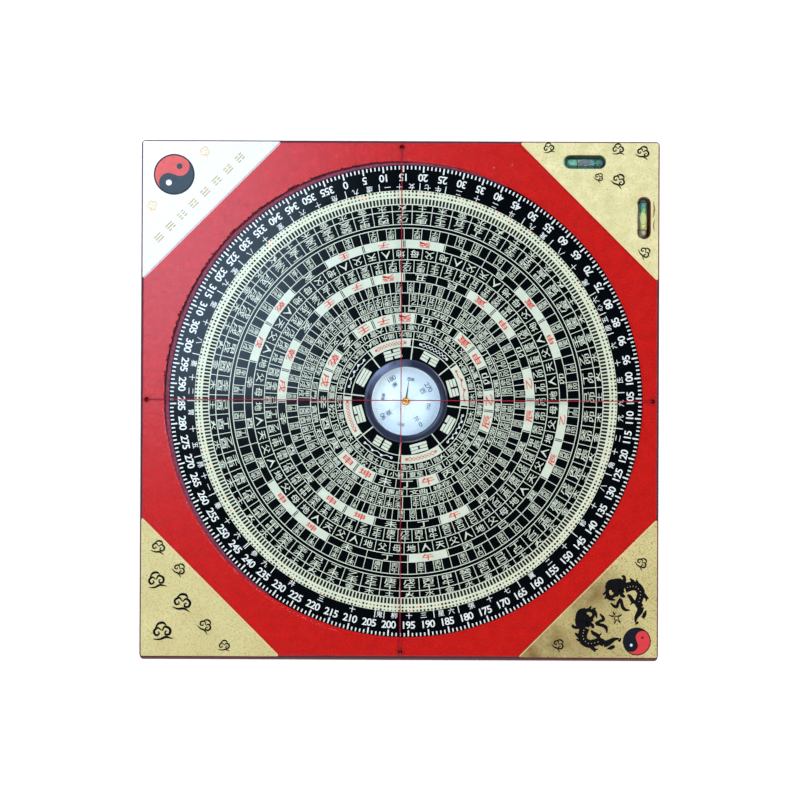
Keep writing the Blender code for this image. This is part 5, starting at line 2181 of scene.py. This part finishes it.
@dataclass
class Vials:
    """The two spirit vials in the corner."""

    ring_width: float = 0.34 * MM
    ring_rise: float = 0.05 * MM
    bubble_length: float = 5.3 * MM
    bubble_width: float = 2.8 * MM
    bubble_sunk: float = 0.06 * MM
    bubble_drop: float = 1.3 * MM
    bubble_share: float = 0.92
    bed_radius: float = 2.86 * MM
    bed_hole: float = 2.33 * MM
    bed_reach: float = 5.98 * MM
    bed_rise: float = 0.6 * MM
    bed_floor: float = 10.72 * MM
    bed_turn: tuple[float, float] = (0.12, 0.5)

    def build(self) -> None:
        """Dress the tubes, stoppers and liquids, and add the ring lines, the bubbles and the beds."""
        for plan in VIAL_PLANS:
            low, high = corners_of(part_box(f"vial_tube_{plan.name}"))
            dress(f"vial_tube_{plan.name}", ACRYLIC)
            dress(f"vial_plug_{plan.name}", STOPPER)
            spirit = Spirit(
                f"spirit_{plan.name}", plan.stops[1][1], plan.stops[1][1], roughness=0.12, specular=0.7,
                along=plan.along, low=float(low[plan.along]), high=float(high[plan.along]), stops=plan.stops,
            )
            dress(f"vial_liquid_{plan.name}", spirit)
            self.build_rings(plan, low, high)
            self.build_bubble(plan)
            self.lay_bed(plan, (low[2] + high[2]) / 2)

    def outline(self, plan: VialPlan, radius: float) -> Array:
        """Give a round-ended outline in a pocket: two half circles, moved apart along the tube."""
        bend = np.linspace(-math.pi / 2, math.pi / 2, 17)
        right = np.stack([self.bed_reach + radius * np.cos(bend), radius * np.sin(bend)], axis=1)
        whole = np.concatenate([right, -right])
        return np.array(plan.centre) + (whole[:, ::-1] if plan.axis is Axis.ALONG else whole)

    def lay_bed(self, plan: VialPlan, axis: float) -> None:
        """Lay the coloured putty that holds the tube: a trough under the tube, up to the pocket's wall. Its
        colour is brightened on one side and dark at the pocket's far wall: painted light and shade.

        Args:
            plan: What is set for the vial.
            axis: The level of the tube's middle.
        """
        across = 1 - plan.along
        middle = plan.centre[across]
        finish = Spirit(
            f"putty_{plan.name}", plan.bed[0][1], plan.bed[0][1], roughness=0.3, specular=0.5, tint=0.1,
            along=across, low=middle - self.bed_radius, high=middle + self.bed_radius, stops=plan.bed,
        )
        turn = np.linspace(*self.bed_turn, 9) * math.pi
        radii = [*(self.bed_hole * np.sin(turn)), self.bed_radius, self.bed_radius]
        levels = [*(axis - self.bed_hole * np.cos(turn)), axis + self.bed_rise, self.bed_floor]
        lines = [self.outline(plan, radius) for radius in radii]
        rings = [np.column_stack([line, np.full(len(line), level)]) for level, line in zip(levels, lines)]
        patch = sheet_of(np.array(rings), wrap_rows=True, wrap_columns=True).facing_out()
        add_piece(f"vial_{plan.name}_bed", patch, finish, Carrier.BOARD, smooth=30)

    def build_rings(self, plan: VialPlan, low: Array, high: Array) -> None:
        """Run the two dark lines round the tube, each a thin band a little above its skin."""
        radius, half = (high[2] - low[2]) / 2, self.ring_width / 2
        inner, outer = radius - SUNK, radius + self.ring_rise
        profile = np.array([(inner, -half), (outer, -half), (outer, half), (inner, half)])
        for number, pixel in enumerate(plan.rings):
            centre = (low + high) / 2
            centre[plan.along] = PHOTO.places((pixel, pixel))[plan.along]
            ring = turned(profile, centre, 40, plan.axis)
            name = f"vial_{plan.name}_line_{number + 1}"
            add_piece(name, ring, VIAL_RING, Carrier.BOARD, smooth=40)

    def build_bubble(self, plan: VialPlan) -> None:
        """Blow the bubble: a longish round skin in the liquid's hollow, flat at the top.

        The skin's reach across is the half width times the square root of one less the square of the
        share of the half length.
        """
        low, high = corners_of(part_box(f"vial_liquid_{plan.name}"))
        tube_low, tube_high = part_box(f"vial_tube_{plan.name}")
        plug_low, plug_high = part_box(f"vial_plug_{plan.name}")
        centre = (low + high) / 2
        first = min(tube_low[plan.along], plug_low[plan.along])
        last = max(tube_high[plan.along], plug_high[plan.along])
        centre[plan.along] = (first + last) / 2
        centre[2] = high[2] - self.bubble_drop + self.bubble_width / 2
        bend = np.linspace(-math.pi / 2, math.pi / 2, 15)
        reach = self.bubble_width / 2 * np.cos(bend) * self.bubble_share
        reach[[0, -1]] = 0.0
        profile = np.stack([reach, self.bubble_length / 2 * np.sin(bend)], axis=1)
        skin = turned(profile, centre, 28, plan.axis)
        skin.points[:, 2] = np.minimum(skin.points[:, 2], high[2] - self.bubble_sunk)
        name = f"vial_{plan.name}_bubble"
        add_piece(name, skin, plan.air, Carrier.BOARD, smooth=40, weld=0.002 * MM)


@dataclass
class Board:
    """The lacquered board: its two layers and the worn lip of the well."""

    well_middle: tuple[float, float] = (1.8 * MM, -0.4 * MM)
    well_radius: float = 99.2 * MM
    dial_radius: float = 98.1 * MM
    torn: tuple[float, float] = (262.0, 362.0)
    # Where the lip's line of pale flecks runs: worn lacquer with painted glints.
    rubbed: tuple[float, float] = (196.0, 262.0)
    lined: tuple[float, float] = (215.0, 385.0)
    beaded: tuple[float, float] = (12.0, 228.0)
    torn_steps: int = 900
    torn_fade: float = 16.0
    bead_fade: float = 25.0
    torn_least: float = 0.1
    crack_width: float = 0.8 * MM
    crack_pinch: float = 0.25
    crack_swing: float = 0.42 * MM
    crack_back: float = 0.04 * MM
    crack_levels: tuple[float, float] = (-0.02 * MM, 0.03 * MM)
    width_knots: int = 130
    swing_knots: int = 110
    jag_knots: int = 190
    tooth_knots: int = 160
    jag_reach: float = 0.22
    tooth_reach: float = 0.3
    jag_shares: tuple[float, float] = (0.25, 0.9)
    chip_count: int = 230
    chip_crowding: float = 1.6
    chip_off: float = 0.45 * MM
    chip_spread: float = 0.4 * MM
    chip_sizes: tuple[float, float] = (0.12, 0.38)
    chip_corners: int = 6
    chip_stretch: tuple[float, float] = (0.45, 1.0)
    chip_share: float = 0.7
    chip_levels: tuple[float, ...] = (0.04, 0.05, 0.06)
    fleck_count: int = 300
    fleck_off: float = 0.1 * MM
    fleck_spread: float = 0.65 * MM
    fleck_sizes: tuple[float, float] = (0.12, 0.42)
    lining_levels: tuple[float, float] = (13.6 * MM, 15.3 * MM)
    lining_gap: float = 0.12 * MM
    lining_back: float = 0.2 * MM
    lining_least: float = 0.05 * MM
    lining_steps: int = 240
    bead_levels: tuple[float, float] = (-0.6 * MM, 0.015 * MM)
    bead_gap: float = 0.1 * MM
    bead_reach: float = 0.3 * MM
    bead_steps: int = 300

    def build(self) -> None:
        """Dress the two layers, wear the well's lip and paint the shade, the reflection and the glints in and
        beside its gap.
        """
        dress("dial_frame", FRAME_LACQUER)
        dress("base_board", BASE_LACQUER)
        self.centre = middle_of(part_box("dial_face"))
        self.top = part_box("dial_frame")[1].z
        self.build_crack()
        self.build_chips()
        self.build_lining()
        self.build_bead()

    def lip(self, azimuth: Array) -> Array:
        """Give the well's radius from the dial's centre.

        The well is a circle about its own centre. Seen from the dial's centre its radius is what
        the shift gives along the direction, plus the root of what is left across it.
        """
        shift = np.array(self.well_middle) - self.centre
        way = outward(azimuth)
        across = way[:, 0] * shift[1] - way[:, 1] * shift[0]
        return way @ shift + np.sqrt(self.well_radius ** 2 - across ** 2)

    @staticmethod
    def wander(random: np.random.Generator, count: int, knots: int) -> Array:
        """Give a smooth uneven line of values from -1 to 1."""
        values = random.uniform(-1, 1, knots)
        return np.interp(np.linspace(0, knots - 1, count), np.arange(knots), values)

    @staticmethod
    def faded(azimuth: Array, over: float, least: float = 0.0) -> Array:
        """Give a share that climbs from the least at both ends to one, over so many degrees."""
        return np.minimum(1.0, np.minimum(azimuth - azimuth[0], azimuth[-1] - azimuth) / over + least)

    def build_crack(self) -> None:
        """Tear a jagged dark line along the lip, swollen and pinched along its way: the jagged edge is the
        torn lacquer, and its dark colour is painted shadow on the well's wall under that edge.
        """
        random = np.random.default_rng(7)
        steps = self.torn_steps
        azimuth = np.linspace(*self.torn, steps)
        swollen = np.abs(self.wander(random, steps, self.width_knots))
        wide = self.crack_pinch + (1 - self.crack_pinch) * swollen
        fade = self.faded(azimuth, self.torn_fade, self.torn_least)
        coarse = self.wander(random, steps, self.swing_knots) * self.crack_swing
        jag = np.abs(coarse + self.wander(random, steps, self.jag_knots) * self.jag_reach * MM)
        tooth = np.abs(self.wander(random, steps, self.tooth_knots)) * self.tooth_reach * MM
        inner_share, outer_share = self.jag_shares
        inner = self.lip(azimuth) - self.crack_back + inner_share * jag * fade
        outer = inner + (self.crack_width * wide + outer_share * jag + tooth) * fade
        low, high = (self.top + level for level in self.crack_levels)
        patch = swept(self.centre, outward(azimuth), inner, outer, low, high)
        add_piece("well_lip_tear_shadow", patch, TEAR_SHADOW, Carrier.BOARD)

    def build_chips(self) -> None:
        """Scatter pale chips outside the tear, and a line of pale flecks where the lip is whole: partly worn
        lacquer and partly painted glints where the edge catches the light.
        """
        random = np.random.default_rng(19)
        first, last = self.torn
        chips = first + (last - first) * random.random(self.chip_count) ** self.chip_crowding
        off = self.chip_off + np.abs(random.normal(0, self.chip_spread, len(chips)))
        size = random.uniform(*self.chip_sizes, len(chips)) * MM
        rubbed = random.uniform(*self.rubbed, self.fleck_count)
        off = np.concatenate([off, self.fleck_off + random.uniform(0, self.fleck_spread, len(rubbed))])
        size = np.concatenate([size, random.uniform(*self.fleck_sizes, len(rubbed)) * MM])
        azimuth = np.concatenate([chips, rubbed])
        middle = self.centre + (self.lip(azimuth) + off)[:, None] * outward(azimuth)
        stretch = random.uniform(*self.chip_stretch, (len(azimuth), self.chip_corners))
        lean = np.radians(azimuth)[:, None] + np.arange(self.chip_corners) / self.chip_corners * FULL
        corners = np.stack([np.sin(lean), np.cos(lean)], axis=2) * self.chip_share
        outlines = middle[:, None] + size[:, None, None] * stretch[..., None] * corners
        low, rows = self.top - SUNK, len(self.chip_levels)
        parts = [
            prisms(outlines[row::rows], low, self.top + level * MM)
            for row, level in enumerate(self.chip_levels)
        ]
        add_piece("well_lip_chips_and_glints", Patch.joined(parts), CHIP_AND_GLINT, Carrier.BOARD)

    def build_lining(self) -> None:
        """Line the crescent of the gap beside the dial with a purplish band: the well's red wall painted as
        it looks in shade, tinted by a bluish reflection.
        """
        azimuth = np.linspace(*self.lined, self.lining_steps)
        inner = np.full(len(azimuth), self.dial_radius + self.lining_gap)
        outer = np.maximum(self.lip(azimuth) - self.lining_back, inner + self.lining_least)
        patch = swept(self.centre, outward(azimuth), inner, outer, *self.lining_levels)
        add_piece("well_wall_lining", patch, LINING, Carrier.BOARD, smooth=30)

    def build_bead(self) -> None:
        """Run a bead of lacquer along the lip where it comes close to the dial, above the dial's level."""
        azimuth = np.linspace(*self.beaded, self.bead_steps)
        lip = self.lip(azimuth)
        inner = lip - (lip - (self.dial_radius + self.bead_gap)) * self.faded(azimuth, self.bead_fade)
        low, high = (self.top + level for level in self.bead_levels)
        patch = swept(self.centre, outward(azimuth), inner, lip + self.bead_reach, low, high)
        add_piece("well_lip_bead", patch, FRAME_LACQUER, Carrier.BOARD)


@dataclass(frozen=True)
class Lamp:
    """A soft square lamp that the camera doesn't see."""

    name: str
    place: tuple[float, float, float]
    aim: tuple[float, float, float]
    size: float
    radiance: float
    colour: tuple[float, float, float]

    def hang(self) -> None:
        """Hang the lamp. Its power is its radiance times its area times pi."""
        data = bpy.data.lights.new(self.name, "AREA")
        data.shape = "SQUARE"
        data.size = self.size
        data.energy = self.radiance * self.size ** 2 * math.pi
        data.color = self.colour
        lamp = placed(self.name, data)
        lamp.location = self.place
        way = Vector(self.aim) - Vector(self.place)
        lamp.rotation_euler = way.to_track_quat("-Z", "Y").to_euler()
        lamp.visible_camera = False


LAMPS = (
    Lamp("window", (-0.192, 0.172, 0.35), (-0.192, 0.172, 0.0), 0.3, 2.7, (0.63, 0.94, 1.3)),
    Lamp("key", (0.86, 0.58, 0.8), (0.0, 0.0, 0.0), 0.6, 8.5, (1.0, 0.98, 0.95)),
    Lamp("left_fill", (-0.86, -0.58, 0.8), (0.0, 0.0, 0.0), 0.6, 5.0, (1.0, 0.98, 0.96)),
    Lamp("front_fill", (0.3, -1.0, 0.8), (0.0, 0.0, 0.0), 0.6, 5.0, (1.0, 0.98, 0.96)),
)


@dataclass
class Studio:
    """The camera, the lamps, the world and the floor."""

    distance: float = 8.3333
    aim: tuple[float, float] = (0.1 * MM, -0.4 * MM)
    lens: float = 904.0
    sensor: float = 36.0
    clip: tuple[float, float] = (1.0, 60.0)
    tilt: float = math.radians(3.7)
    roll: float = math.radians(0.25)
    sky_fade: tuple[float, float] = (0.85, 0.35)
    sky_mirrored: float = 0.85
    sky_overhead: float = 0.02
    sky_matt: float = 0.2
    floor_half: float = 6.0
    floor_drop: float = 0.05 * MM
    floor_grey: float = 0.86
    floor_glow: float = 0.55
    floor_clear: float = 7.0 * MM

    def build(self) -> None:
        """Set up the whole studio."""
        self.set_camera()
        self.set_world()
        self.lay_floor()
        for lamp in LAMPS:
            lamp.hang()
        bpy.context.scene.view_settings.view_transform = "Standard"

    def set_camera(self) -> None:
        """Hang the camera nearly straight above the board, a little towards its near edge."""
        data = bpy.data.cameras.new("camera")
        data.lens = self.lens
        data.sensor_width = self.sensor
        data.clip_start, data.clip_end = self.clip
        camera = placed("camera", data)
        aim = Vector((*self.aim, CAD_HIGH.z))
        turn = Matrix.Rotation(self.roll, 4, "Z") @ Matrix.Rotation(self.tilt, 4, "X")
        camera.location = aim + turn @ Vector((0.0, 0.0, self.distance))
        camera.rotation_euler = turn.to_euler()
        bpy.context.scene.camera = camera

    def set_world(self) -> None:
        """Make the world white to the camera, plain to matt surfaces and dim overhead to gloss."""
        world = bpy.data.worlds.new("studio")
        graph = emptied(world)
        path = graph.add("ShaderNodeLightPath").outputs
        height = graph.parts(graph.add("ShaderNodeTexCoord").outputs["Generated"])[2]
        low = graph.times(graph.ramp(height, *self.sky_fade), self.sky_mirrored)
        mirrored = graph.math("ADD", low, self.sky_overhead)
        strength = graph.between(path["Is Glossy Ray"], self.sky_matt, mirrored)
        unscattered = graph.math("LESS_THAN", path["Diffuse Depth"], 0.5)
        through = graph.times(path["Is Transmission Ray"], unscattered)
        seen = graph.math("MAXIMUM", path["Is Camera Ray"], through)
        level = graph.between(seen, strength, 1.0)
        sky = graph.give("ShaderNodeBackground", {"Color": (1.0, 1.0, 1.0, 1.0), "Strength": level})
        graph.add("ShaderNodeOutputWorld", {"Surface": sky})
        bpy.context.scene.world = world

    def lay_floor(self) -> None:
        """Lay a pale floor that shows white to the camera and keeps the board's shadow.

        It lies a hair under the board. It is clear from below, and to light that goes down from the
        board's underside, so that the underside shows.
        """
        half, level = self.floor_half, CAD_LOW.z - self.floor_drop
        corners = [(-half, -half, level), (half, -half, level), (half, half, level), (-half, half, level)]
        mesh = bpy.data.meshes.new("floor")
        mesh.from_pydata(corners, [], [(0, 1, 2, 3)])
        material = bpy.data.materials.new("pale_floor")
        graph = emptied(material)
        path = graph.add("ShaderNodeLightPath").outputs
        grey = self.floor_grey
        matt = graph.give("ShaderNodeBsdfDiffuse", {"Color": (grey, grey, grey, 1.0)})
        glow = graph.times(path["Is Camera Ray"], self.floor_glow)
        light = graph.give("ShaderNodeEmission", {"Strength": glow})
        both = graph.give("ShaderNodeAddShader", {0: matt, 1: light})
        under = graph.add("ShaderNodeNewGeometry").outputs["Backfacing"]
        close = graph.math("LESS_THAN", path["Ray Length"], self.floor_clear)
        clear = graph.give("ShaderNodeBsdfTransparent")
        gone = graph.math("MAXIMUM", under, close)
        shader = graph.give("ShaderNodeMixShader", {0: gone, 1: both, 2: clear})
        graph.add("ShaderNodeOutputMaterial", {"Surface": shader})
        mesh.materials.append(material)
        placed("floor", mesh)


def write_sizes() -> None:
    """Bring the view layer up to date."""
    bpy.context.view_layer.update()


def main() -> None:
    """Build the studio and then the object, piece by piece."""
    logging.basicConfig(level=logging.INFO, format="%(message)s")
    for part in (Studio(), Board(), CornerPlates(), Vials(), Threads(), Dial(), Capsule()):
        log.info("building %s", type(part).__name__)
        part.build()
    write_sizes()


if __name__ == "__main__":
    main()
